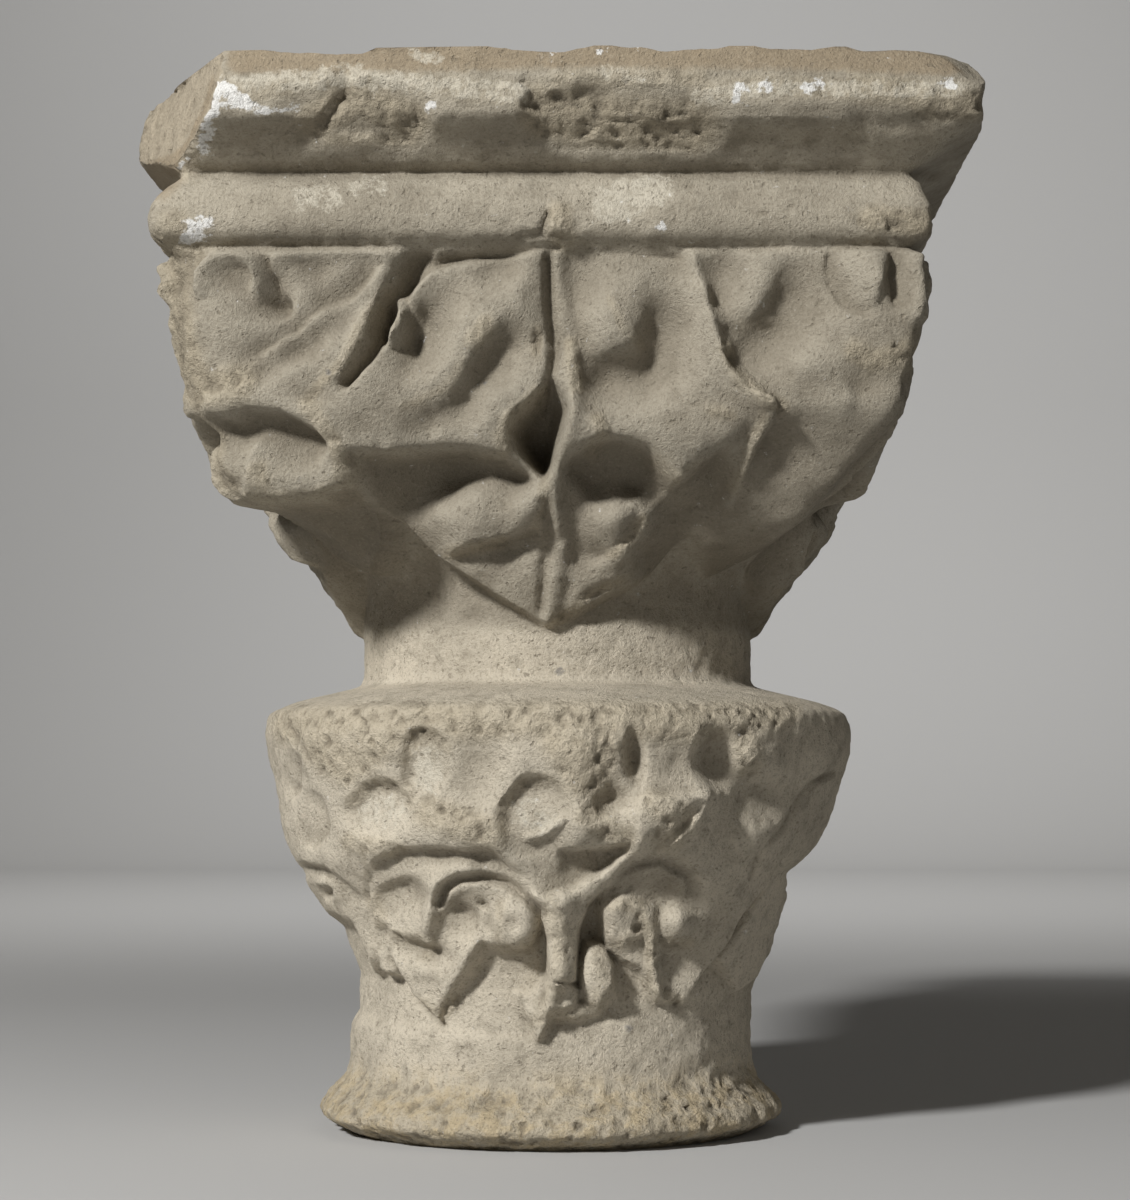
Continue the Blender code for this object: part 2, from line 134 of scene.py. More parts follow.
def lattice_noise(points: Field, cell: float, seed: int) -> Field:
    """Value noise in -1..1: random values on a cubic lattice, blended smoothly between its corners.

    Args:
        points: Positions, one row each, in metres.
        cell: The lattice spacing in metres.
        seed: Picks the random values.

    Returns:
        One value for each point.
    """
    table = np.random.default_rng(seed).uniform(-1.0, 1.0, NOISE_TABLE)
    scaled = points / cell + NOISE_OFFSET
    base = np.floor(scaled).astype(np.int64)
    part = scaled - base
    part = part * part * part * (part * (part * 6.0 - 15.0) + 10.0)
    total = np.zeros(len(points))
    for corner in range(8):
        step = np.array([corner & 1, (corner >> 1) & 1, corner >> 2])
        key = (base + step) @ np.array(NOISE_PRIMES)
        weight = np.prod(np.where(step, part, 1.0 - part), axis=1)
        total += weight * table[(key ^ (key >> 13)) & (NOISE_TABLE - 1)]
    return total


def layered_noise(points: Field, cell: float, layers: int, seed: int) -> Field:
    """Layers of lattice noise, each with half the spacing of the one before and weaker.

    Args:
        points: Positions in metres.
        cell: The widest spacing in metres.
        layers: How many layers.
        seed: Picks the random values.

    Returns:
        One value for each point, about -1..1.
    """
    total = np.zeros(len(points))
    strength = 1.0
    for layer in range(layers):
        total += strength * lattice_noise(points, cell * 0.5**layer, seed + layer)
        strength *= LAYER_STRENGTH
    return total


def blurred(field: Field, radius: int, sides: str = "wrap") -> Field:
    """Three running means over a grid.

    Args:
        field: The grid.
        radius: Half the window, in grid steps.
        sides: Whether the grid's second axis closes on itself (wrap) or ends (edge).

    Returns:
        The softened grid.
    """
    soft = field
    window = 2 * radius + 1
    for _ in range(3):
        wide = np.pad(soft, ((radius + 1, radius), (0, 0)), mode="edge")
        run = np.cumsum(wide, axis=0)
        soft = (run[window:] - run[:-window]) / window
        wide = np.pad(soft, ((0, 0), (radius + 1, radius)), mode=sides)
        run = np.cumsum(wide, axis=1)
        soft = (run[:, window:] - run[:, :-window]) / window
    return soft


@dataclass(frozen=True)
class PhotoCamera:
    """The photograph's camera, found from the block's lines: sizes in pixels, places in metres."""

    picture_width: float = 1130.0
    picture_height: float = 1200.0
    focal: float = 2800.0
    horizon_row: float = 780.0
    axis_column: float = 557.0
    distance: float = 1.064
    turn: float = math.radians(1.5)
    eye_height: float = 0.1295
    sensor: float = 36.0

    def axes(self) -> tuple[Field, Field, Field, Field]:
        """Where the eye stands and which way it looks.

        Returns:
            The eye's place, then unit vectors to its right, up and forward.
        """
        eye = np.array([self.distance * math.sin(self.turn), -self.distance * math.cos(self.turn),
                        self.eye_height])
        aside = math.atan((self.axis_column - self.picture_width / 2.0) / self.focal)
        heading = -self.turn - aside
        pitch = math.atan((self.horizon_row - self.picture_height / 2.0) / self.focal)
        level = np.array([math.sin(heading), math.cos(heading), 0.0])
        forward = level * math.cos(pitch) + np.array([0.0, 0.0, math.sin(pitch)])
        right = np.array([level[1], -level[0], 0.0])
        return eye, right, np.cross(right, forward), forward

    def project(self, points: Field) -> tuple[Field, Field]:
        """Perspective: the offset along right and up, over the depth along forward, times the focal length.

        Args:
            points: An array of positions whose last axis is x, y, z.

        Returns:
            The photograph's column and row of each point.
        """
        eye, right, up, forward = self.axes()
        away = points - eye
        depth = away @ forward
        columns = self.picture_width / 2.0 + self.focal * (away @ right) / depth
        rows = self.picture_height / 2.0 - self.focal * (away @ up) / depth
        return columns, rows

    def build(self) -> None:
        """Puts the camera into the scene."""
        eye, right, up, forward = self.axes()
        data = bpy.data.cameras.new("photo_camera")
        data.sensor_fit = "HORIZONTAL"
        data.sensor_width = self.sensor
        data.lens = self.focal / self.picture_width * self.sensor
        camera = bpy.data.objects.new("photo_camera", data)
        columns = np.stack([right, up, -forward, eye], axis=1)
        camera.matrix_world = Matrix([*columns.tolist(), [0.0, 0.0, 0.0, 1.0]])
        bpy.context.scene.collection.objects.link(camera)
        bpy.context.scene.camera = camera


@dataclass
class BlockShape:
    """The block before carving: bands of rings that fill the CAD node's own height and width."""

    astragal_height: float = 0.024
    lower_bell_height: float = 0.131
    ledge_height: float = 0.009
    neck_height: float = 0.020
    upper_bell_height: float = 0.126
    torus_height: float = 0.027
    chamfer_height: float = 0.014
    fillet_height: float = 0.022
    bed_radius: float = 0.075
    astragal_radius: float = 0.087
    lower_neck_radius: float = 0.0745
    lower_bell_radius: float = 0.110
    neck_radius: float = 0.0735
    upper_bell_half_width: float = 0.122
    torus_half_width: float = 0.1315
    chamfer_half_width: float = 0.128
    abacus_half_width: float = 0.149
    corner_rounding: float = 0.02
    edge_wear: float = 0.0009
    arris_wear: float = 0.0016
    corner_loss: float = 0.013
    corner_loss_reach: float = 0.030
    left_swell: float = 0.0065
    foot_shift: float = 0.0025
    profile_steps: int = 1600
    length_steps: int = 4000
    blur_reach: int = 18

    def levels(self) -> Field:
        """The height at which each band starts, and last the height of the top bed."""
        heights = (self.astragal_height, self.lower_bell_height, self.ledge_height, self.neck_height,
                   self.upper_bell_height, self.torus_height, self.chamfer_height, self.fillet_height)
        return np.concatenate([[0.0], np.cumsum(heights)])

    def rings(self) -> Field:
        """Every ring as height, half width and corner ratio, bottom to top.

        Returns:
            An array with one ring in each row.
        """
        low = self.levels()
        bands = (
            (low[Band.FOOT], self.astragal_height, self.bed_radius, self.astragal_radius, (
                (0.00, 0.00, ROUND), (0.13, 0.55, ROUND), (0.27, 1.00, ROUND), (0.45, 0.86, ROUND),
                (0.60, 0.58, ROUND), (0.80, 0.20, ROUND))),
            (low[Band.LOWER_BELL], self.lower_bell_height, self.lower_neck_radius, self.lower_bell_radius, (
                (0.00, 0.02, ROUND), (0.20, 0.02, ROUND), (0.25, 0.09, ROUND), (0.31, 0.18, ROUND),
                (0.40, 0.31, ROUND), (0.50, 0.50, ROUND), (0.58, 0.68, ROUND), (0.68, 0.82, ROUND),
                (0.80, 0.91, ROUND), (0.88, 0.99, ROUND), (0.94, 1.00, ROUND), (0.98, 0.97, ROUND),
                (1.00, 0.93, ROUND))),
            (low[Band.LEDGE], self.ledge_height, self.lower_bell_radius, self.neck_radius, (
                (0.40, 0.30, ROUND), (0.80, 0.72, ROUND), (1.00, 0.96, ROUND))),
            (low[Band.NECK], self.neck_height, self.neck_radius, self.upper_bell_half_width, (
                (0.15, 0.00, ROUND), (0.90, 0.00, ROUND))),
            (low[Band.UPPER_BELL], self.upper_bell_height, self.neck_radius, self.upper_bell_half_width, (
                (0.03, 0.07, ROUND), (0.08, 0.14, 1.02), (0.11, 0.20, 1.05), (0.14, 0.28, 1.08),
                (0.18, 0.38, 1.15), (0.23, 0.49, 1.28), (0.29, 0.59, 1.37), (0.38, 0.71, 1.43),
                (0.55, 0.86, 1.45), (0.68, 0.94, 1.46), (0.80, 0.99, 1.46), (0.97, 1.00, 1.45))),
            (low[Band.TORUS], self.torus_height, self.upper_bell_half_width, self.torus_half_width, (
                (0.00, 0.20, SQUARE), (0.06, 0.62, SQUARE), (0.16, 0.92, SQUARE), (0.32, 1.00, SQUARE),
                (0.50, 0.92, SQUARE), (0.66, 0.70, SQUARE), (0.84, 0.50, SQUARE), (0.97, 0.45, SQUARE))),
            (low[Band.CHAMFER], self.chamfer_height, self.chamfer_half_width, self.abacus_half_width, (
                (0.05, 0.00, SQUARE), (0.50, 0.42, SQUARE), (0.95, 0.96, SQUARE))),
            (low[Band.FILLET], self.fillet_height, self.chamfer_half_width, self.abacus_half_width, (
                (0.10, 1.00, SQUARE), (0.55, 1.00, 1.40), (1.00, 0.92, 1.36))),
        )
        rings = [
            (start + up * height, narrow + grow * (wide - narrow), corner)
            for start, height, narrow, wide, shares in bands
            for up, grow, corner in shares
        ]
        return np.array(rings)

    def profile(self, height: Field) -> tuple[Field, Field]:
        """Half width and corner ratio at each height: straight lines between rings, then a small blur.

        Args:
            height: Heights in metres.

        Returns:
            The half width and the corner ratio, as arrays like height.
        """
        rings = self.rings()
        fine = np.linspace(rings[0, 0], rings[-1, 0], self.profile_steps)
        step = fine[1] - fine[0]
        reach = np.arange(-self.blur_reach, self.blur_reach + 1) * step
        kernel = np.exp(-0.5 * (reach / self.edge_wear) ** 2)
        kernel /= kernel.sum()
        found = []
        for column in (1, 2):
            line = np.interp(fine, rings[:, 0], rings[:, column])
            wide = np.pad(line, self.blur_reach, mode="edge")
            found.append(np.interp(height, fine, np.convolve(wide, kernel, mode="valid")))
        return found[0], found[1]

    def square_share(self, offset: Field) -> Field:
        """How far a square reaches past its inscribed circle: (1 / cos - 1), 0 at mid face and 1 at a corner.

        Args:
            offset: Azimuth from the middle of the nearest face.

        Returns:
            The share, with the corner itself rounded off.
        """
        left = np.hypot(0.25 * math.pi - np.abs(offset), self.corner_rounding)
        softened = np.clip(0.25 * math.pi - left, 0.0, None)
        return (1.0 / np.cos(softened) - 1.0) / (SQUARE - 1.0)

    def row_heights(self, count: int) -> Field:
        """Heights for the grid's rows, evenly spaced along the profile's own length and not along z.

        Args:
            count: How many rows.

        Returns:
            The heights, from the bottom bed to the top bed.
        """
        fine = np.linspace(0.0, self.levels()[Band.TOP], self.length_steps)
        middle, corner = self.profile(fine)
        edge = middle * corner
        turn = np.hypot(np.gradient(middle), np.gradient(edge)) / SQUARE
        length = np.cumsum(np.hypot(np.gradient(fine), turn))
        length = (length - length[0]) / (length[-1] - length[0])
        return np.interp(np.linspace(0.0, 1.0, count), length, fine)


class CarvingSheet:
    """Carving drawn on the photograph's plane: for each pixel a height in millimetres, and several masks."""

    skin_unit: float = 100.0
    skin_slack: float = 0.0004
    batch: int = 20000
    lip_ends: float = 0.16
    crest_reach: float = 9.0
    scoop_reach: float = 1.2
    scoop_waves: tuple[Pair, ...] = ((3.0, 0.04), (5.0, 0.03))
    scoop_rim: float = 0.42
    scoop_floor: Pair = (0.60, 0.45)
    pocket_power: float = 0.7
    stroke_core: float = 1.6
    far: float = 1.0e9

    def __init__(self, left: int, top: int, wide: int, tall: int) -> None:
        """Starts flat and unmarked.

        Args:
            left: The first photograph column.
            top: The first photograph row.
            wide: How many columns.
            tall: How many rows.
        """
        self.left = left
        self.top = top
        self.shape = (tall, wide)
        columns, rows = np.meshgrid(left + np.arange(wide), top + np.arange(tall))
        self.columns = columns.ravel().astype(float)
        self.rows = rows.ravel().astype(float)
        self.height = np.zeros(self.columns.size)
        self.marks: dict[str, Field] = {}

    def sample(self, field: Field, columns: Field, rows: Field) -> Field:
        """Reads a field between its pixels, as the blend of the four nearest ones.

        Args:
            field: The heights or a mask.
            columns: Photograph columns.
            rows: Photograph rows.

        Returns:
            Values, as an array like columns.
        """
        tall, wide = self.shape
        x = np.clip(columns - self.left, 0.0, wide - 1.001)
        y = np.clip(rows - self.top, 0.0, tall - 1.001)
        x0 = x.astype(int)
        y0 = y.astype(int)
        fx = x - x0
        fy = y - y0
        grid = field.reshape(self.shape)
        above = grid[y0, x0] * (1.0 - fx) + grid[y0, x0 + 1] * fx
        below = grid[y0 + 1, x0] * (1.0 - fx) + grid[y0 + 1, x0 + 1] * fx
        return above * (1.0 - fy) + below * fy

    def mark(self, name: str, columns: Field, rows: Field) -> Field:
        """Reads a mask between its pixels, or zeros where nothing was marked."""
        return self.sample(self.marks.get(name, np.zeros(self.columns.size)), columns, rows)

    def soften(self, radius: int) -> None:
        """Wears the carving down with a small blur."""
        self.height = blurred(self.height.reshape(self.shape), radius, "edge").ravel()

    def lay(self, soundings: Soundings, low: float, high: float, cell: int = 4) -> None:
        """Lays a smooth skin through soundings: weights times r squared log r, plus a tilted plane.

        Args:
            soundings: Column, row and height in millimetres of each.
            low: The lowest height that the skin keeps between them.
            high: The highest.
            cell: The spacing in pixels at which the skin is worked out.
        """
        known = np.array(soundings, float)
        places = known[:, :2]

        def bend(first: Field, second: Field) -> Field:
            """r squared log r between every two places, with r in skin units."""
            gap = np.sum(((first[:, None] - second[None]) / self.skin_unit) ** 2, axis=2)
            return 0.5 * gap * np.log(gap + 1.0e-9)

        count = len(known)
        flat = np.column_stack([np.ones(count), places / self.skin_unit])
        system = np.zeros((count + 3, count + 3))
        system[:count, :count] = bend(places, places) + self.skin_slack * np.eye(count)
        system[:count, count:] = flat
        system[count:, :count] = flat.T
        weights = np.linalg.solve(system, np.append(known[:, 2], np.zeros(3)))
        tall, wide = self.shape
        x = np.arange(0, wide + cell, cell)
        y = np.arange(0, tall + cell, cell)
        columns, rows = np.meshgrid(x + self.left, y + self.top)
        spots = np.column_stack([columns.ravel(), rows.ravel()]).astype(float)
        coarse = np.empty(len(spots))
        for start in range(0, len(spots), self.batch):
            part = spots[start:start + self.batch]
            plane = np.column_stack([np.ones(len(part)), part / self.skin_unit])
            coarse[start:start + self.batch] = bend(part, places) @ weights[:count] + plane @ weights[count:]
        coarse = coarse.reshape(len(y), len(x))
        across = np.array([np.interp(np.arange(wide), x, line) for line in coarse])
        skin = np.array([np.interp(np.arange(tall), y, line) for line in across.T]).T
        self.height += blurred(np.clip(skin, low, high), 1, "edge").ravel()

    def _inside_box(self, path: Path, reach: float) -> Field:
        """Indices of the pixels within reach of a path's bounding box."""
        low = np.floor(np.min(path, axis=0) - reach).astype(int) - (self.left, self.top)
        high = np.ceil(np.max(path, axis=0) + reach).astype(int) - (self.left, self.top)
        tall, wide = self.shape
        x = np.arange(max(low[0], 0), min(high[0] + 1, wide))
        y = np.arange(max(low[1], 0), min(high[1] + 1, tall))
        return (y[:, None] * wide + x[None]).ravel()

    def _along(self, path: Path, reach: float) -> tuple[Field, Field, Field, Field]:
        """Nearest point of a path, by clipping each pixel's projection to every stretch in turn.

        Args:
            path: Photograph positions.
            reach: How far from the path to look, in pixels.

        Returns:
            Pixel indices, distance, side (+1 to the right of the path's direction), and length run.
        """
        index = self._inside_box(path, reach)
        x = self.columns[index]
        y = self.rows[index]
        nearest = np.full(index.size, self.far)
        side = np.zeros(index.size)
        run = np.zeros(index.size)
        walked = 0.0
        for (x0, y0), (x1, y1) in zip(path, path[1:]):
            dx, dy = x1 - x0, y1 - y0
            length = math.hypot(dx, dy)
            share = np.clip(((x - x0) * dx + (y - y0) * dy) / length**2, 0.0, 1.0)
            gap = np.hypot(x - x0 - share * dx, y - y0 - share * dy)
            closer = gap < nearest
            nearest = np.where(closer, gap, nearest)
            side = np.where(closer, np.sign(dx * (y - y0) - dy * (x - x0)), side)
            run = np.where(closer, walked + share * length, run)
            walked += length
        return index, nearest, side, run / walked

    def rib(self, path: Path, width: float, rise: float, end_width: float | None = None) -> None:
        """A rounded rib, rise times (1 - (distance / width) squared) squared; a negative rise is a groove.

        Args:
            path: The rib's line.
            width: Half its width at the start, in pixels.
            rise: Its height in millimetres.
            end_width: Half its width at the end, where it tapers.
        """
        end = width if end_width is None else end_width
        index, gap, _, run = self._along(path, max(width, end))
        share = gap / (width + (end - width) * run)
        self.height[index] += rise * np.clip(1.0 - share * share, 0.0, 1.0) ** 2

    def lip(self, path: Path, reach: float, depth: float, edge: float = 6.0, crest: float = 0.3) -> None:
        """An edge that overhangs: right of its line the stone drops at once, then comes back over the reach.

        Args:
            path: The edge, walked with the low side on its right.
            reach: How far the hollow goes, in pixels.
            depth: The drop in millimetres.
            edge: The width of the drop itself, in pixels.
            crest: How far the high side stands up, in millimetres.
        """
        index, gap, side, run = self._along(path, reach)
        ends = smooth_step(np.minimum(run, 1.0 - run) / self.lip_ends)
        low = smooth_step(0.5 + side * gap / edge)
        share = np.clip(1.0 - gap / reach, 0.0, 1.0)
        top = (1.0 - low) * np.exp(-((gap / self.crest_reach) ** 2))
        self.height[index] += ends * (crest * top - depth * low * share * share * (3.0 - 2.0 * share))

    def dish(self, centre: Pair, radii: Pair, depth: float,
             tilt: float = 0.0, crisp: float = 2.0) -> None:
        """An oval hollow, depth times (1 - radius share to the power crisp); a negative depth is a boss.

        Args:
            centre: Photograph position.
            radii: Half width and half height in pixels.
            depth: Millimetres.
            tilt: Turn of the oval in degrees, clockwise in the picture.
            crisp: 2 is a plain bowl, and more gives a flat floor with a sharp rim.
        """
        index = self._inside_box((centre,), max(radii))
        x = self.columns[index] - centre[0]
        y = self.rows[index] - centre[1]
        turn = math.radians(tilt)
        across = (x * math.cos(turn) + y * math.sin(turn)) / radii[0]
        down = (y * math.cos(turn) - x * math.sin(turn)) / radii[1]
        share = np.clip(1.0 - np.hypot(across, down) ** crisp, 0.0, 1.0)
        self.height[index] -= depth * (share if crisp > 2.0 else share * share)

    def scoop(self, centre: Pair, radii: Pair, depth: float,
              heading: float = 90.0) -> None:
        """An oval hollow with a steep rim behind and a floor that rises to the surface ahead.

        Args:
            centre: Photograph position.
            radii: Half width and half height in pixels.
            depth: Millimetres under the rim.
            heading: The way its floor rises, in degrees: 0 is right and 90 is down the picture.
        """
        index = self._inside_box((centre,), self.scoop_reach * max(radii))
        across = (self.columns[index] - centre[0]) / radii[0]
        down = (self.rows[index] - centre[1]) / radii[1]
        turn = math.radians(heading)
        ahead = across * math.cos(turn) + down * math.sin(turn)
        angle = np.arctan2(down, across)
        uneven = np.ones(index.size)
        for (turns, amount), phase in zip(self.scoop_waves, centre):
            uneven += amount * np.sin(turns * angle + phase)
        rim = np.clip((1.0 - np.hypot(across, down) * uneven) / self.scoop_rim, 0.0, 1.0)
        level, fall = self.scoop_floor
        floor = np.clip(level - fall * ahead, 0.0, 1.0)
        self.height[index] -= depth * rim * (2.0 - rim) * floor

    def _signed(self, outline: Path, reach: float) -> tuple[Field, Field]:
        """Distance to a closed outline, positive inside, by counting crossings of a level line."""
        closed = (*outline, outline[0])
        index, gap, _, _ = self._along(closed, reach)
        x = self.columns[index]
        y = self.rows[index]
        inside = np.zeros(index.size, bool)
        for (x0, y0), (x1, y1) in zip(closed, closed[1:]):
            rise = y1 - y0 if y1 != y0 else 1.0e-9
            inside ^= ((y0 > y) != (y1 > y)) & (x < x0 + (y - y0) * (x1 - x0) / rise)
        return index, np.where(inside, gap, -gap)

    def plate(self, outline: Path, rise: float, edge: float = 5.0) -> None:
        """Raises what lies inside an outline, or sinks it with a negative rise.

        Args:
            outline: Photograph positions round the plate.
            rise: Millimetres.
            edge: The width of its sloping edge in pixels.
        """
        index, signed = self._signed(outline, edge)
        self.height[index] += rise * smooth_step(0.5 + signed / edge)

    def pocket(self, outline: Path, depth: float, slope: float) -> None:
        """A hollow with a steep rim, which deepens inwards over its slope.

        Args:
            outline: Photograph positions round the rim.
            depth: Millimetres.
            slope: Pixels from the rim to the full depth.
        """
        index, signed = self._signed(outline, 2.0)
        self.height[index] -= depth * np.clip(signed / slope, 0.0, 1.0) ** self.pocket_power

    def stroke(self, name: str, path: Path, width: float, amount: float = 1.0) -> None:
        """Marks a mask along a line.

        Args:
            name: The mask.
            path: The line.
            width: Half its width in pixels.
            amount: The mask's value on the line.
        """
        index, gap, _, _ = self._along(path, width)
        field = self.marks.setdefault(name, np.zeros(self.columns.size))
        strength = amount * smooth_step(self.stroke_core * (1.0 - gap / width))
        field[index] = np.maximum(field[index], strength)

    def spots(self, name: str, places: Soundings, amount: float) -> None:
        """Marks a mask at small round spots.

        Args:
            name: The mask.
            places: Column, row and half width of each.
            amount: The mask's value at their middles.
        """
        for column, row, width in places:
            self.stroke(name, ((column, row), (column + 1, row)), width, amount)

    def fill(self, name: str, outline: Path, edge: float) -> None:
        """Marks a mask inside an outline.

        Args:
            name: The mask.
            outline: Photograph positions round it.
            edge: The width of its soft edge in pixels.
        """
        index, signed = self._signed(outline, edge)
        field = self.marks.setdefault(name, np.zeros(self.columns.size))
        field[index] = np.maximum(field[index], smooth_step(0.5 + signed / edge))

    def rough(self, path: Path, width: float, amount: float = 1.0) -> None:
        """Marks broken stone along a line."""
        self.stroke("broken", path, width, amount)

    def cut(self, cuts: Cuts) -> None:
        """Makes every cut of a table in turn: its tool, then what that tool takes."""
        for tool, *sizes in cuts.values():
            tool(self, *sizes)


# The tools under the short names that the tables of cuts use.
RIB, LIP, DISH, SCOOP = CarvingSheet.rib, CarvingSheet.lip, CarvingSheet.dish, CarvingSheet.scoop
PLATE, POCKET, ROUGH = CarvingSheet.plate, CarvingSheet.pocket, CarvingSheet.rough
STROKE, FILL = CarvingSheet.stroke, CarvingSheet.fill


@dataclass
class UpperLeaves:
    """The upper bell's carving: a broad central leaf, and a corner leaf that ends in a curl each side."""

    skin_limits: Pair = (-13.0, 7.0)
    skin_strength: float = 1.25
    wear: int = 2
    foot_drop: float = 2.0
    foot_edge: Pair = (11.0, 22.0)
    middle_column: float = 550.0
    edge_change: Pair = (110.0, 180.0)
    leaf_foot: Path = (
        (362, 642), (350, 600), (338, 560), (333, 530), (350, 515), (385, 530), (417, 553), (460, 578),
        (500, 603), (535, 624), (548, 630), (573, 621), (605, 602), (640, 588), (665, 573), (692, 551),
        (713, 543), (729, 548), (740, 581), (745, 602), (749, 642),
    )
    left_corner_skin: Soundings = (
        (205, 285, 1), (210, 267, 1.5), (230, 256, 2.5), (250, 256, 2.5), (228, 278, 0), (235, 305, 1),
        (225, 330, 1.5), (240, 360, 0), (190, 270, -2), (180, 300, -2), (175, 340, -2.5), (190, 395, -1.5),
        (274, 306, -4), (278, 268, 1.5), (310, 256, 2), (350, 252, 2), (385, 255, 2), (320, 273, -1),
        (340, 287, 1), (300, 292, 0), (305, 315, 2), (365, 275, 1.5), (280, 335, 2), (260, 350, 1),
        (372, 300, -1), (345, 318, -1.5), (318, 335, -2.5), (290, 350, -3.5), (262, 366, -1.5),
        (388, 280, 1.5), (372, 315, 1.5), (356, 340, 1.5), (338, 368, 1.5), (318, 388, 1), (330, 345, 0.5),
        (300, 370, 1.5), (278, 382, 1.5), (300, 395, 1.5), (205, 412, 1), (232, 405, 3), (262, 402, 3),
        (295, 412, 3.5), (325, 432, 4), (345, 455, 3.5), (345, 480, 3),
    )
    left_half_skin: Soundings = (
        (445, 262, 1), (480, 257, 1.5), (515, 252, 2), (542, 250, 2), (533, 262, 2.5), (517, 283, 3),
        (503, 303, 3.5), (487, 325, 4), (472, 345, 4), (462, 368, 4), (450, 388, 3.5), (428, 400, 2.5),
        (405, 407, 2), (420, 280, 1.5), (408, 297, 1), (425, 315, -4), (430, 335, -4.5), (412, 358, -4),
        (447, 300, -1.5), (450, 330, 0), (440, 358, 1), (425, 380, 2), (385, 372, 1.5), (372, 388, 3),
        (470, 298, 1), (490, 272, -1.5), (512, 264, -1.5), (465, 275, 0), (512, 340, -3), (492, 358, -3.5),
        (478, 375, -3), (500, 385, 0), (520, 365, -0.5), (530, 330, 0.5), (538, 300, 0.5), (540, 270, 1),
        (525, 400, 2), (508, 415, 2.5), (485, 400, 1), (466, 398, -2), (450, 410, -1.5), (430, 420, -2),
        (470, 425, 1), (490, 435, 3), (440, 435, 0.5), (405, 428, 0), (375, 415, 2.5), (350, 405, 3.5),
        (345, 425, 3.5), (365, 440, 3), (395, 445, 2),
    )
    right_half_skin: Soundings = (
        (562, 262, -1), (580, 272, -2.5), (580, 300, -2.5), (582, 335, -2), (575, 380, 0.5), (612, 296, 2.5),
        (598, 318, 3), (618, 322, 3.5), (605, 345, 3), (628, 342, 3), (638, 305, 1), (645, 275, 2),
        (618, 268, 1), (600, 254, 0), (650, 254, 0), (680, 258, 0), (688, 278, 0.5), (662, 335, -5.6),
        (650, 358, -5), (668, 312, -4), (674, 350, -4), (625, 378, -4.6), (603, 380, -6.5), (647, 378, -5),
        (685, 322, -2.5), (690, 350, 0.5), (590, 375, -4), (620, 403, 0.5), (650, 402, 2), (682, 390, 3),
        (640, 420, 4.5), (680, 420, 5), (712, 410, 4.5), (738, 425, 3.5), (612, 425, 4), (585, 425, 5),
        (570, 445, 4.5), (600, 408, 2), (700, 375, 4), (722, 395, 4.5), (704, 340, 3), (693, 375, 3),
        (620, 438, 4.5), (650, 448, 4.5), (675, 478, 3), (700, 458, 3.5), (728, 440, 3.5),
    )
    right_corner_skin: Soundings = (
        (694, 256, 2), (702, 290, 3), (709, 320, 3.5), (717, 350, 4), (735, 380, 4.5), (755, 400, 5),
        (716, 278, -2.5), (718, 300, -1.5), (728, 330, -0.5), (755, 285, 2.5), (745, 305, 2.5), (768, 270, 2),
        (738, 268, 0), (797, 298, -5.5), (793, 318, -5), (785, 283, -2), (806, 280, -2.5), (767, 340, -4.5),
        (788, 330, -5), (752, 350, -3.5), (742, 365, -1.5), (800, 366, 4), (830, 366, 3.5), (778, 380, 2.5),
        (802, 388, 2.5), (852, 392, 1.5), (822, 325, 0), (840, 340, 2), (832, 300, -0.5), (862, 265, 3),
        (860, 290, 3), (843, 256, 2), (885, 268, 1), (908, 262, 2), (912, 290, 2.5), (900, 315, 3),
        (872, 328, 3), (882, 345, 2.5), (890, 382, 0.5), (868, 385, 0.5), (905, 352, 1.5), (790, 403, 3.5),
        (840, 401, 4), (880, 396, 3), (905, 384, 1.5),
    )
    lower_skin: Soundings = (
        (230, 435, 0), (285, 437, -1), (285, 468, 1), (240, 478, 0.5), (325, 468, 1.5), (258, 497, 3),
        (300, 500, 4), (340, 492, 4.5), (300, 525, -6), (262, 518, -3), (340, 545, -9), (330, 590, -4),
        (380, 480, -3), (400, 500, -9), (450, 475, -8), (400, 525, -9), (375, 505, -7), (425, 545, -6),
        (380, 560, -4), (430, 512, -5), (465, 500, 0.5), (500, 500, 3), (532, 498, 3), (482, 520, 2),
        (452, 530, 0), (520, 522, 2), (465, 545, 2.5), (490, 540, 1.5), (505, 556, -2), (522, 554, -2),
        (480, 590, 2.5), (510, 590, 3.5), (530, 610, 3), (460, 575, 1.5), (535, 575, 2), (540, 450, -4),
        (600, 478, -7), (640, 480, -7), (580, 505, -5), (680, 510, -8), (720, 500, -9.5), (700, 530, -12.5),
        (682, 540, -12.5), (625, 530, 2), (640, 516, 2), (602, 522, -1), (612, 548, 2.5), (650, 552, -8.5),
        (588, 555, -4), (590, 578, 2), (570, 600, 2.5), (602, 586, 2.5), (632, 580, 0), (560, 620, 2),
        (665, 560, -11), (780, 432, -3), (820, 440, -3.5), (860, 440, -3), (835, 465, -7.5), (850, 490, -11),
        (868, 462, -7), (800, 500, -10.5), (765, 500, -10), (780, 545, -13), (820, 520, -11), (740, 540, -13),
        (725, 470, -4.5),
    )
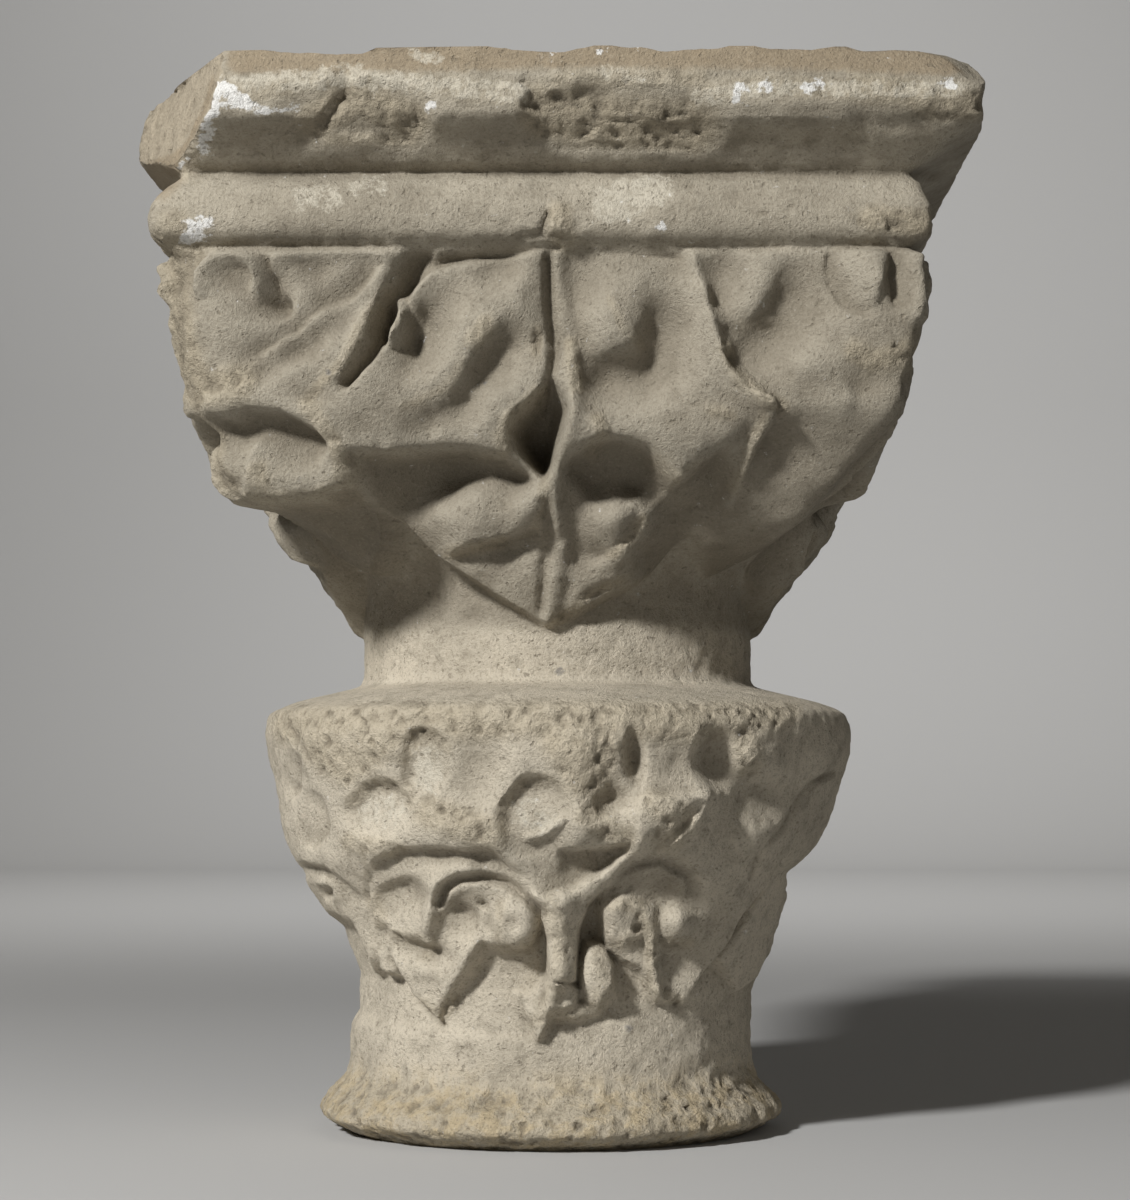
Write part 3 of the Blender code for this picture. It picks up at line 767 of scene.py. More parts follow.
    # The curl and the two facets left of the deep groove.
    left_corner_cuts: ClassVar[Cuts] = {
        "curl": (RIB, ((204, 290), (206, 274), (222, 260), (245, 255), (258, 262), (261, 277), (256, 292)),
            11, 4.4),
        "edge round the curl": (LIP, ((262, 296), (266, 276), (264, 258), (246, 248), (220, 252), (200, 272)),
            12, 2),
        "groove in the curl": (RIB, ((268, 262), (270, 282), (264, 304)), 6, -4, 11),
        "pit beside the curl": (DISH, (275, 307), (20, 16), 6.5),
        "upper border": (RIB, ((272, 270), (285, 259), (320, 252), (372, 250), (388, 257)), 8, 2.4),
        "fold across the leaf": (LIP, ((390, 258), (371, 278), (350, 298), (323, 308), (300, 328), (260, 355),
            (240, 366)), 30, 4.6),
        "deep groove, upper stretch": (RIB, ((426, 244), (410, 266), (394, 296), (380, 326)), 15, -10, 20),
        "deep groove, lower stretch": (RIB, ((386, 312), (376, 335), (365, 356), (346, 384)), 18, -10, 7),
        "broken crest of the groove": (ROUGH, ((384, 290), (362, 322), (349, 357), (327, 381), (309, 402)), 8,
            0.8),
    }
    # The left half of the central leaf, with its bud in the groove.
    left_half_cuts: ClassVar[Cuts] = {
        "bud": (DISH, (394, 320), (13, 28), -11, 6, 2.6),
        "hollow in the bud": (DISH, (396, 321), (5, 12), 2.4),
        "hollow beside the bud": (DISH, (419, 322), (13, 27), 3, 10),
        "groove beside the bud": (RIB, ((406, 302), (409, 322), (411, 348)), 6, -3.6),
        "fold under the bud": (RIB, ((383, 350), (395, 360), (408, 352)), 6, 1.6),
        "overhanging top border": (LIP, ((547, 249), (520, 254), (450, 263), (430, 271), (412, 288),
            (403, 304)), 24, 7),
        "fold down the leaf": (LIP, ((503, 308), (487, 330), (470, 350), (459, 372), (448, 390), (428, 403),
            (404, 411)), 26, 1.4, 9),
        "broken top of the fold": (ROUGH, ((487, 325), (476, 340)), 12, 0.9),
        "broken foot of the fold": (ROUGH, ((462, 365), (450, 388), (405, 408)), 6, 0.5),
        "broken edge of the eyelet": (ROUGH, ((540, 392), (527, 405), (510, 418), (501, 437), (503, 452)), 10,
            0.9),
        "chip in the lip": (DISH, (384, 443), (8, 5), 2),
        "chip by the seam": (DISH, (537, 340), (6, 11), 2.4),
        "broken stone by the seam": (ROUGH, ((537, 330), (536, 352)), 8, 0.7),
    }
    # The seam between the two half leaves: a groove, the eyelet below it, and the hanging midrib.
    middle_cuts: ClassVar[Cuts] = {
        "seam": (RIB, ((548, 249), (549, 300), (552, 330), (555, 350), (550, 384)), 5.5, -4.6, 9),
        "eyelet": (POCKET, ((552, 378), (532, 398), (514, 415), (508, 432), (515, 448), (545, 484),
            (553, 466), (566, 430), (571, 408), (560, 388)), 21, 17),
        "edge right of the eyelet": (RIB, ((574, 405), (567, 432), (556, 456), (552, 484), (555, 512),
            (564, 545)), 13, 2.4),
        "hanging midrib": (RIB, ((562, 552), (557, 580), (552, 605), (548, 624)), 12, 2.2),
        "groove left of the midrib": (RIB, ((547, 486), (549, 520), (545, 560), (542, 600), (541, 612)), 7,
            -2.4),
        "broken stone left of the midrib": (ROUGH, ((545, 480), (541, 512), (536, 524)), 8, 0.6),
    }
    # The right half of the central leaf: its border, its raised lozenge and its veins.
    right_half_cuts: ClassVar[Cuts] = {
        "top of the border by the seam": (RIB, ((558, 256), (562, 290), (568, 325), (573, 350)), 11, 2),
        "foot of the border by the seam": (RIB, ((572, 350), (573, 372), (577, 395)), 10, 2.2),
        "broken border": (ROUGH, ((570, 343), (573, 372), (577, 390)), 9, 0.9),
        "tongue over the right hollow": (PLATE, ((571, 402), (608, 433), (594, 450), (572, 462), (557, 482),
            (558, 452), (567, 425)), 3.4, 11),
        "broken tip of the tongue": (ROUGH, ((597, 422), (603, 438), (592, 450)), 10, 0.9),
        "lower edge of the lozenge": (LIP, ((583, 352), (605, 356), (628, 350), (645, 325), (652, 300)), 24,
            1.6, 12, 0.3),
        "rough crest of the lozenge": (ROUGH, ((610, 300), (622, 330), (640, 345)), 6, 0.5),
        "groove under the torus": (RIB, ((578, 246), (640, 254), (684, 255)), 5, -2.6),
        "border on the right": (RIB, ((689, 250), (701, 290), (709, 330), (720, 368), (738, 392), (762, 406)),
            7, 2.6, 9),
        "broken corner of the border": (ROUGH, ((722, 350), (733, 380), (757, 402), (775, 408)), 12, 0.9),
        "hooked end of the border": (RIB, ((752, 400), (766, 411), (764, 426), (756, 442), (750, 470),
            (746, 500)), 11, 3.8, 9),
        "broken hook": (ROUGH, ((760, 420), (752, 447), (748, 485)), 8, 0.7),
        "rough patch left of the hook": (ROUGH, ((706, 412), (726, 418)), 8, 0.7),
    }
    # The corner leaf on the right, with its hollows and its curled end.
    right_corner_cuts: ClassVar[Cuts] = {
        "top of the volute's knob": (DISH, (858, 264), (28, 27), -4.6, 0, 2.4),
        "foot of the volute's knob": (DISH, (864, 288), (17, 25), -3.4),
        "ridge on the knob": (RIB, ((858, 285), (860, 305)), 10, 2),
        "groove round the knob": (RIB, ((830, 256), (834, 283), (848, 306), (862, 312)), 7, -3.6),
        "groove right of the knob": (RIB, ((893, 256), (891, 303)), 8, -3.6),
        "outer ridge": (RIB, ((908, 254), (911, 285), (905, 316)), 12, 3.4),
        "broken band below the volute": (ROUGH, ((850, 352), (870, 362), (902, 350)), 15, 0.9),
        "rough hollow beside the border": (ROUGH, ((740, 325), (780, 320)), 8, 0.3),
    }
    # The overhanging lips across the lower bell, and the lobes that come forward below them.
    underside_cuts: ClassVar[Cuts] = {
        "lip of the left corner leaf": (LIP, ((188, 414), (227, 419), (250, 411), (283, 414), (317, 432),
            (338, 454)), 50, 11, 12),
        "ridge under the corner lip": (RIB, ((252, 446), (260, 498)), 9, 2.4),
        "edge of the left corner lobe": (LIP, ((240, 506), (277, 506), (320, 502), (356, 484)), 70, 15),
        "broken edge of the corner lobe": (ROUGH, ((312, 405), (338, 440), (347, 470), (345, 492), (315, 500),
            (262, 500)), 12, 0.9),
        "rough face of the corner lobe": (ROUGH, ((262, 470), (275, 495)), 12, 0.8),
        "lip of the left half leaf": (LIP, ((340, 452), (377, 456), (403, 455), (433, 450), (467, 450),
            (503, 459), (548, 484)), 76, 14, 14),
        "rough edge of the left lip": (ROUGH, ((350, 455), (430, 452), (500, 455)), 7, 0.5),
        "edge of the left middle lobe": (LIP, ((446, 556), (470, 549), (490, 544), (515, 537), (541, 524)),
            26, 5.5),
        "broken edge of the left middle lobe": (ROUGH, ((446, 553), (484, 545), (500, 541)), 8, 0.7),
        "lip right of the eyelet": (LIP, ((556, 474), (573, 458), (597, 444), (620, 441), (647, 449),
            (661, 470), (676, 487)), 66, 10),
        "lip of the right half leaf": (LIP, ((660, 472), (676, 487), (690, 477), (710, 460), (730, 446)), 84,
            8),
        "rough edge of the right lip": (ROUGH, ((655, 460), (675, 480), (700, 462)), 8, 0.5),
        "edge of the right middle lobe": (LIP, ((652, 510), (636, 536), (612, 557), (590, 562)), 34, 5, 10),
        "broken edge of the right middle lobe": (ROUGH, ((646, 516), (632, 538), (613, 555)), 8, 0.8),
        "right foot of the leaf": (LIP, ((640, 582), (605, 594), (572, 618), (550, 631)), 14, 2),
        "rough foot of the leaf": (ROUGH, ((620, 580), (590, 595), (556, 622)), 7, 0.6),
        "soft edge of the cheek": (RIB, ((772, 420), (800, 408), (840, 404), (868, 400)), 14, 0.8),
    }

    def cover(self, columns: Field, rows: Field) -> Field:
        """How far leaf, and not the bare neck, covers each point: a short smooth rise above the leaf foot.

        Args:
            columns: Photograph columns.
            rows: Photograph rows.

        Returns:
            0 on the neck and 1 on the leaves.
        """
        foot = np.array(self.leaf_foot)
        edge = np.interp(columns, foot[:, 0], foot[:, 1])
        narrow, wide = self.foot_edge
        start, end = self.edge_change
        aside = smooth_step((np.abs(columns - self.middle_column) - start) / (end - start))
        return smooth_step((edge + self.foot_drop - rows) / (narrow + (wide - narrow) * aside))

    def carve(self, sheet: CarvingSheet) -> None:
        """Lays the rise and fall of every leaf, then cuts its edges.

        Args:
            sheet: The sheet of the upper bell.
        """
        skin = (*self.left_corner_skin, *self.left_half_skin, *self.right_half_skin, *self.right_corner_skin,
                *self.lower_skin)
        sheet.lay(skin, *self.skin_limits)
        sheet.height *= self.skin_strength
        for cuts in (self.left_corner_cuts, self.left_half_cuts, self.middle_cuts, self.right_half_cuts,
                     self.right_corner_cuts, self.underside_cuts):
            sheet.cut(cuts)
        sheet.soften(self.wear)


@dataclass
class LowerLeaves:
    """The lower capital's carving: worn lobes over hollows, and curled tips that hang on the bare neck."""

    ground_depth: float = 6.0
    ground_band: Four = (0.10, 0.10, 0.64, 0.14)
    carved_band: Four = (0.02, 0.05, 1.04, 0.05)
    tip_rise: float = 2.5
    tip_top: float = 0.46
    tip_fade: float = 0.18
    skin_limits: Pair = (-10.0, 5.0)
    wear: int = 1
    skin: Soundings = (
        (290, 720, 0), (340, 722, 0.5), (400, 715, 0.5), (480, 715, 0), (560, 720, 0.5), (620, 722, 0.5),
        (680, 728, 0.5), (740, 722, 0.5), (790, 728, -1), (830, 735, 0), (300, 752, -0.5), (345, 752, 1),
        (385, 750, 1.5), (330, 780, 1), (345, 780, 1), (404, 775, -1), (425, 798, 0), (450, 748, -1),
        (453, 765, -1.5), (452, 790, -1), (475, 758, -4.5), (478, 778, -4), (472, 798, -2), (495, 755, -3),
        (508, 742, 0), (512, 768, 0.5), (506, 788, 0), (560, 748, 1), (585, 762, 1.5), (602, 742, 1.5),
        (570, 778, 1), (540, 760, 0.5), (655, 768, -1.5), (675, 758, -3), (690, 772, -2), (652, 790, 0),
        (680, 795, 1), (752, 745, 1), (748, 762, 1), (768, 750, 0), (775, 768, -0.5), (345, 815, 0.5),
        (418, 822, 0.5), (380, 850, 1), (440, 820, 1.5), (460, 840, 2), (482, 820, 2), (495, 842, 2),
        (430, 845, 1), (590, 800, 1), (600, 825, 1.5), (616, 820, 1.5), (580, 842, 1), (626, 835, 1),
        (612, 797, -2.5), (660, 815, 2), (686, 805, 2.5), (702, 799, 2.5), (662, 840, 2), (645, 822, 1.5),
        (745, 800, -6), (772, 790, -5.5), (745, 780, -5), (728, 822, -4), (765, 818, -3.5), (757, 842, 1),
        (780, 840, 0), (792, 810, -2), (735, 856, -2), (800, 780, -2), (795, 750, -2.5), (820, 760, -0.5),
        (815, 820, -1), (800, 850, -1), (600, 862, -7), (575, 866, -6), (540, 862, -4), (400, 862, -3),
        (440, 862, -3), (480, 862, -3), (385, 882, -4.5), (400, 890, -4.5), (415, 900, -3), (378, 900, -3.5),
        (405, 920, 0), (430, 895, 0.5), (432, 930, 2), (433, 905, 2), (442, 880, 1), (470, 868, 0.5),
        (510, 873, 0), (540, 892, 0), (460, 925, -3), (455, 905, -4), (465, 945, 0), (448, 940, 0),
        (475, 912, -3.5), (400, 945, -1.5), (430, 950, -3.5), (445, 955, -3), (415, 946, -2.5), (430, 980, 0),
        (425, 966, 0), (450, 975, 0.5), (440, 1005, 1), (490, 1000, 0), (520, 965, 0), (520, 1045, 0),
        (440, 1050, 0), (380, 1030, 0), (600, 1050, 0), (700, 1030, 0), (705, 995, 0), (340, 1040, 0),
        (650, 886, -6.5), (630, 896, -6.5), (670, 886, -6), (686, 896, -3.5), (610, 906, -6), (598, 930, -6),
        (656, 930, -3), (666, 962, -5), (682, 965, -4.5), (640, 962, -3), (676, 926, 1), (702, 880, 0.5),
        (722, 880, 1), (742, 880, 0.5), (712, 920, 1), (700, 942, 0), (725, 930, 1), (690, 985, 0.5),
        (760, 870, -0.5), (775, 858, -1),
    )
    # The hollows of the upper lobes, and the broken stone between them.
    lobe_cuts: ClassVar[Cuts] = {
        "broken rim": (ROUGH, ((290, 725), (360, 720), (460, 720), (560, 715), (640, 720), (700, 720),
            (780, 708)), 30),
        "broken left lobe": (ROUGH, ((320, 745), (350, 765), (400, 725)), 30),
        "broken middle lobe": (ROUGH, ((560, 730), (585, 775), (600, 740)), 36),
        "broken stone between the bowls": (ROUGH, ((430, 812), (470, 828), (492, 832)), 24),
        "broken stone over the pointed leaf": (ROUGH, ((350, 842), (395, 850)), 14, 0.8),
        "broken right fork": (ROUGH, ((655, 805), (680, 815), (668, 838)), 22, 0.8),
        "broken left fork": (ROUGH, ((590, 815), (620, 838)), 20, 0.9),
        "broken stone by the right hollow": (ROUGH, ((748, 740), (752, 765)), 18, 0.8),
        "upper bowl": (SCOOP, (426, 764), (26, 40), 5.6, 60),
        "left bowl": (SCOOP, (380, 811), (37, 33), 6, 65),
        "middle bowl": (SCOOP, (537, 818), (42, 45), 7, 45),
        "rough rim of the left bowl": (ROUGH, ((352, 800), (372, 780), (402, 786), (416, 810)), 10, 0.6),
        "rough rim of the upper bowl": (ROUGH, ((402, 760), (425, 728), (448, 748)), 9, 0.6),
        "rough rim of the middle bowl": (ROUGH, ((500, 845), (503, 805), (522, 782), (552, 778)), 10, 0.6),
        "ridge in the middle bowl": (RIB, ((527, 838), (545, 834), (563, 820)), 5, 2.6),
        "slot over the fork": (DISH, (635, 757), (15, 37), 7, -4),
        "hollow right of the slot": (DISH, (720, 758), (32, 42), 9),
        "hollow left of the fork": (DISH, (610, 800), (24, 20), 5),
        "lip over the pointed leaf": (LIP, ((362, 884), (372, 862), (400, 850), (430, 848), (465, 851),
            (492, 852), (510, 866), (534, 880)), 26, 5, 7, 0.2),
        "lip under the left fork": (LIP, ((554, 850), (590, 850), (626, 846), (636, 838)), 34, 5),
        "lip under the right fork": (LIP, ((712, 793), (690, 826), (663, 850), (640, 864)), 30, 4.5),
        "bowl on the left flank": (SCOOP, (312, 820), (17, 32), 5, 200),
        "small bowl on the left flank": (SCOOP, (291, 775), (11, 26), 3.4, 200),
    }
    # The pointed leaf at the left, with the round knob beside it.
    pointed_leaf_cuts: ClassVar[Cuts] = {
        "pointed leaf": (FILL, "leaf", ((340, 800), (363, 900), (370, 925), (390, 960), (414, 997),
            (438, 1021), (445, 1000), (466, 960), (474, 935), (476, 800)), 6),
        "knob and the wall below it": (FILL, "leaf", ((430, 800), (432, 960), (436, 1004), (447, 1008),
            (466, 976), (482, 945), (500, 950), (522, 950), (540, 935), (545, 905), (540, 870), (540, 800)),
            15),
        "bridge to the side leaf": (STROKE, "leaf", ((380, 930), (388, 962)), 20, 0.9),
        "midrib": (RIB, ((436, 884), (430, 912), (428, 942)), 9, 2.8),
        "left hollow": (SCOOP, (402, 904), (32, 28), 4.5, 70),
        "fold below the left hollow": (LIP, ((372, 920), (396, 934), (420, 944), (448, 950)), 28, 3.6),
        "groove along the left edge": (RIB, ((389, 960), (416, 1001), (440, 1025)), 6, -2.4),
        "right hollow": (SCOOP, (458, 926), (24, 26), 3.4, 80),
        "deep line over the knob": (RIB, ((438, 904), (443, 889), (456, 880), (480, 877), (505, 883),
            (528, 896), (542, 912)), 8, -5.5),
        "knob": (DISH, (516, 924), (25, 28), -5.5, 0, 3),
        "hollow in the knob": (DISH, (513, 922), (13, 14), 2.2),
        "ring of the knob": (RIB, ((493, 903), (495, 925), (487, 946)), 5, 1.6),
        "pit beside the knob": (DISH, (482, 904), (8, 6), 3.6),
        "right edge": (RIB, ((484, 912), (477, 936), (462, 962), (447, 992)), 7, 1.2),
        "rough fold": (ROUGH, ((395, 935), (430, 940), (425, 955)), 10, 0.6),
        "rough tip": (ROUGH, ((426, 1003), (441, 1014), (452, 1000)), 9, 0.8),
        "rough knob": (ROUGH, ((500, 905), (500, 945), (530, 948), (537, 925)), 8, 0.5),
        "rough left edge": (ROUGH, ((368, 900), (378, 922)), 10, 0.6),
    }
    # The forked stem in the middle and the hooked curl at its foot.
    stem_cuts: ClassVar[Cuts] = {
        "outline of the stem": (FILL, "leaf", ((540, 800), (640, 800), (712, 793), (700, 850), (631, 868),
            (606, 890), (590, 905), (580, 930), (578, 982), (548, 982), (546, 940), (538, 905), (517, 886)),
            8),
        "forked stem": (PLATE, ((641, 796), (712, 793), (700, 817), (680, 840), (656, 855), (631, 867),
            (608, 888), (590, 906), (580, 930), (576, 1006), (547, 1010), (547, 940), (540, 908), (520, 889),
            (545, 896), (575, 888), (604, 870), (626, 853), (637, 838), (634, 815)), 5, 9),
        "right branch": (RIB, ((634, 806), (638, 840), (622, 860), (592, 884), (568, 902)), 13, 1, 15),
        "upright": (RIB, ((562, 905), (562, 940), (560, 978)), 18, 3, 17),
        "foot and curl": (FILL, "leaf", ((548, 975), (530, 992), (512, 993), (524, 1012), (537, 1041),
            (555, 1021), (580, 1022), (602, 1015), (616, 998), (617, 965), (604, 942), (586, 944), (578, 962),
            (578, 985)), 9),
        "ridge of the foot": (RIB, ((562, 972), (546, 1000), (540, 1034)), 22, 3, 9),
        "loop to the curl": (RIB, ((532, 1008), (572, 1012), (598, 1004), (610, 985)), 11, 2.4),
        "curl": (DISH, (597, 976), (19, 33), -5.5, 0, 2.6),
        "groove beside the curl": (RIB, ((582, 936), (582, 960), (580, 985)), 5, -1.2),
        "hollow over the curl": (DISH, (592, 932), (12, 14), 1.6),
        "rough upright": (ROUGH, ((550, 905), (562, 940), (556, 985), (540, 1020)), 13, 0.6),
        "rough curl": (ROUGH, ((600, 955), (606, 985), (595, 1003), (560, 1012)), 12, 0.6),
    }
    # The leaf right of the stem, with its lumps, its upright rib and its square lobe.
    right_leaf_cuts: ClassVar[Cuts] = {
        "leaf right of the stem": (FILL, "leaf", ((600, 905), (620, 830), (800, 800), (805, 860), (765, 892),
            (742, 917), (731, 940), (719, 956), (700, 978), (682, 1003), (655, 1003), (640, 970), (606, 950)),
            6),
        "lip over the lump": (LIP, ((692, 902), (686, 878), (662, 865), (636, 868), (612, 886)), 18, 3.4),
        "lump": (PLATE, ((605, 908), (622, 896), (640, 900), (646, 915), (641, 938), (624, 948), (607, 938)),
            4.4, 16),
        "crown of the lump": (DISH, (616, 916), (13, 14), -1.6),
        "pit in the lump": (DISH, (637, 928), (6, 9), 2.4),
        "upright rib": (RIB, ((650, 910), (653, 950), (655, 992)), 11, 3.8),
        "square lobe": (DISH, (677, 924), (20, 27), -4.6, 10),
        "crown of the square lobe": (DISH, (680, 916), (12, 12), -1.2),
        "rough lump": (ROUGH, ((612, 905), (640, 905), (645, 925), (620, 945)), 10, 0.7),
        "rough rib": (ROUGH, ((650, 925), (651, 985), (675, 1000)), 8, 0.8),
        "rough foot of the lobe": (ROUGH, ((664, 942), (690, 942)), 8, 0.7),
        "small boss below": (DISH, (628, 1028), (6, 6), -0.8),
    }
    # The narrow leaves that turn round both sides.
    side_leaf_cuts: ClassVar[Cuts] = {
        "left side leaf": (FILL, "leaf", ((270, 800), (292, 860), (300, 890), (318, 915), (345, 925),
            (357, 950), (369, 972), (384, 955), (372, 925), (365, 800)), 20),
        "lip over the side curl": (LIP, ((291, 861), (323, 868), (341, 881), (362, 902)), 18, 3.2),
        "eye of the side curl": (DISH, (325, 893), (9, 9), 3),
        "ring of the side curl": (RIB, ((316, 882), (332, 885), (335, 900)), 5, 1.8),
        "line beside the pointed leaf": (RIB, ((364, 850), (366, 880), (362, 900)), 4, -2),
        "line over the right side leaf": (RIB, ((835, 772), (815, 782), (801, 802), (788, 826), (762, 850),
            (750, 880)), 4, -2.2),
        "upper line on the right": (RIB, ((808, 728), (803, 760), (800, 795)), 3, -1.2),
        "right side leaf": (FILL, "leaf", ((765, 892), (716, 958), (733, 992), (751, 980), (763, 958),
            (790, 900), (800, 800)), 5),
        "line down the right side leaf": (RIB, ((745, 915), (733, 940), (720, 957)), 4, -1.6),
    }

    def carve(self, sheet: CarvingSheet) -> None:
        """Lays the rise and fall of every leaf, then cuts its edges.

        Args:
            sheet: The sheet of the lower capital.
        """
        sheet.lay(self.skin, *self.skin_limits)
        for cuts in (self.lobe_cuts, self.pointed_leaf_cuts, self.stem_cuts, self.right_leaf_cuts,
                     self.side_leaf_cuts):
            sheet.cut(cuts)
        sheet.soften(self.wear)


@dataclass
class AbacusDamage:
    """Breaks, chips and stains that only the seen side has."""

    break_azimuth: float = math.radians(-63.8)
    break_reach: float = 0.160
    break_slope: float = 0.28
    break_least_turn: float = 0.2
    break_gap: float = 0.0005
    plaster_spots: Soundings = (
        (198, 228, 19), (185, 238, 10), (232, 96, 17), (222, 90, 13), (247, 104, 10), (735, 99, 8),
        (740, 88, 8), (765, 88, 11), (808, 88, 11), (820, 84, 8), (950, 84, 10), (661, 225, 6), (717, 215, 5),
        (765, 304, 5), (549, 52, 7), (601, 53, 6), (186, 90, 4), (166, 108, 5),
    )
    plaster_amount: float = 1.2
    grey_spots: Soundings = (
        (558, 671, 8), (628, 1028, 7), (306, 480, 5), (330, 374, 6), (485, 382, 5), (885, 45, 9),
        (840, 44, 6),
    )
    grey_amount: float = 1.0
    # The fillet's lower edge is broken away in stretches, and the torus is knocked.
    chip_cuts: ClassVar[Cuts] = {
        "left chip": (RIB, ((300, 118), (325, 116), (352, 112), (378, 112), (404, 120)), 36, -5.5),
        "notch over the left chip": (RIB, ((330, 92), (342, 78)), 14, -2),
        "sharp side of the left chip": (LIP, ((304, 122), (320, 106), (333, 92), (345, 74)), 22, 2),
        "rounded end of the left piece": (LIP, ((530, 98), (527, 88), (518, 80)), 14, 1.6),
        "middle break": (RIB, ((546, 116), (600, 114), (650, 116), (698, 120)), 38, -6),
        "foot of the middle break": (RIB, ((560, 146), (690, 146)), 8, -1.2),
        "top of the middle break": (RIB, ((536, 100), (548, 106), (600, 88)), 18, -1.4),
        "right break": (RIB, ((868, 112), (905, 116), (948, 114), (990, 104)), 24, -2.8),
        "worn arris on the right": (RIB, ((705, 108), (760, 110), (850, 110)), 7, -1),
        "line over the torus": (RIB, ((196, 173), (560, 171), (940, 174)), 10, -2.6),
        "broken left chip": (ROUGH, ((308, 118), (350, 95), (410, 118)), 26),
        "crumbs under the left chip": (ROUGH, ((330, 138), (410, 138)), 10, 0.7),
        "broken middle": (ROUGH, ((545, 108), (600, 118), (692, 124)), 38),
        "rough top of the middle break": (ROUGH, ((560, 80), (640, 76), (700, 78)), 14, 0.7),
        "rough right fillet": (ROUGH, ((700, 92), (760, 84), (850, 90)), 14, 0.6),
        "broken right end": (ROUGH, ((858, 88), (905, 90), (940, 104), (985, 104)), 20, 0.95),
        "rough left fillet": (ROUGH, ((225, 96), (290, 86), (330, 76), (430, 84), (500, 92)), 15, 0.55),
        "edge of the broken corner": (ROUGH, ((220, 74), (205, 125), (184, 176)), 9, 0.6),
        "rough left chamfer": (ROUGH, ((240, 130), (430, 130)), 20, 0.3),
        "rough right chamfer": (ROUGH, ((720, 135), (930, 135)), 18, 0.25),
        "boss over the seam": (DISH, (559, 226), (19, 22), -2.4),
        "knock left of the boss": (LIP, ((508, 240), (522, 232), (538, 230), (548, 206)), 12, 1.8),
        "rough boss": (ROUGH, ((559, 214), (562, 240)), 18, 0.9),
        "knocked right end of the torus": (ROUGH, ((872, 218), (905, 222), (940, 222)), 18),
        "dent in the right end": (DISH, (905, 220), (40, 20), 1.8),
        "broken left corner leaf": (ROUGH, ((165, 250), (168, 300), (180, 360), (200, 392), (240, 385)), 28),
        "knocked left end of the torus": (ROUGH, ((175, 225), (190, 255)), 22, 0.8),
        "rough underside on the left": (ROUGH, ((190, 420), (215, 470), (250, 505)), 12, 0.7),
        "rough right corner": (ROUGH, ((905, 345), (915, 395), (880, 470)), 16, 0.5),
        "first dent in the collar": (DISH, (488, 1104), (24, 12), 3.4, -6),
        "second dent in the collar": (DISH, (440, 1106), (16, 9), 2.4),
        "third dent in the collar": (DISH, (600, 1112), (20, 9), 2),
        "fourth dent in the collar": (DISH, (712, 1108), (13, 8), 2),
    }
    # Plaster, colour only: line, half width and strength.
    plaster_strokes: ClassVar[Strokes] = {
        "down the broken corner": (((226, 84), (214, 112), (206, 132), (203, 150)), 11, 1.1),
        "along the left arris": (((250, 112), (285, 108), (296, 104)), 6, 1),
        "fleck on the corner": (((184, 158), (179, 168)), 4, 1.2),
        "fleck on the arris": (((425, 104), (435, 108)), 7, 0.9),
    }
    # Pale stone, colour only: line, half width and strength. On the bowls it is partly painted light on their
    # lit floors.
    pale_strokes: ClassVar[Strokes] = {
        "patch near the top": (((415, 54), (436, 60)), 11, 0.9),
        "patch on the fillet": (((470, 86), (515, 88)), 12, 0.9),
        "patch on the left of the torus": (((305, 199), (330, 200)), 25, 0.74),
        "small pale patch on the torus": (((360, 186), (376, 184)), 19, 0.7),
        "left fillet": (((225, 86), (300, 80), (345, 74), (420, 84), (520, 92)), 17, 0.85),
        "right fillet": (((700, 96), (780, 88), (860, 90), (960, 88)), 15, 0.75),
        "patch on the middle of the torus": (((612, 204), (652, 189)), 34, 0.86),
        # The bowls: paler smooth stone, with painted light on their lit floors.
        "upper bowl": (((425, 758), (427, 778)), 24, 0.8),
        "left bowl": (((372, 812), (392, 812)), 26, 0.8),
        "middle bowl": (((525, 812), (545, 822)), 26, 0.7),
        "top of the middle break": (((600, 70), (640, 76)), 14, 0.6),
    }
    # Brown weathering, colour only: line, half width and strength.
    brown_strokes: ClassVar[Strokes] = {
        "top band": (((240, 60), (400, 58), (600, 54), (800, 56), (950, 62)), 20, 1),
        "broken corner": (((190, 90), (165, 140), (160, 180)), 30, 0.8),
    }

    def mark(self, sheet: CarvingSheet) -> None:
        """Makes the chips, then marks the stains.

        Args:
            sheet: The sheet of the whole seen side.
        """
        sheet.cut(self.chip_cuts)
        sheet.spots("plaster", self.plaster_spots, self.plaster_amount)
        sheet.spots("grey", self.grey_spots, self.grey_amount)
        for name, strokes in (("plaster", self.plaster_strokes), ("pale", self.pale_strokes),
                              ("brown", self.brown_strokes)):
            for path, width, amount in strokes.values():
                sheet.stroke(name, path, width, amount)

    def break_corner(self, radius: Field, azimuth: Field, height: Field,
                     shape: BlockShape) -> tuple[Field, Field]:
        """Cuts the near left corner with a leaning plane: radius is at most reach over the cosine to it.

        Args:
            radius: The block's radius.
            azimuth: The azimuth of each point.
            height: The height of each point.
            shape: Gives the abacus's levels.

        Returns:
            The cut radius, and a mask of the broken face.
        """
        levels = shape.levels()
        turned = np.cos(azimuth - self.break_azimuth)
        reach = self.break_reach + self.break_slope * (levels[Band.TOP] - height)
        cut = reach / np.maximum(turned, self.break_least_turn)
        high = height > levels[Band.CHAMFER] + self.break_gap
        broken = high & (turned > self.break_least_turn) & (cut < radius)
        return np.where(broken, cut, radius), broken.astype(float)


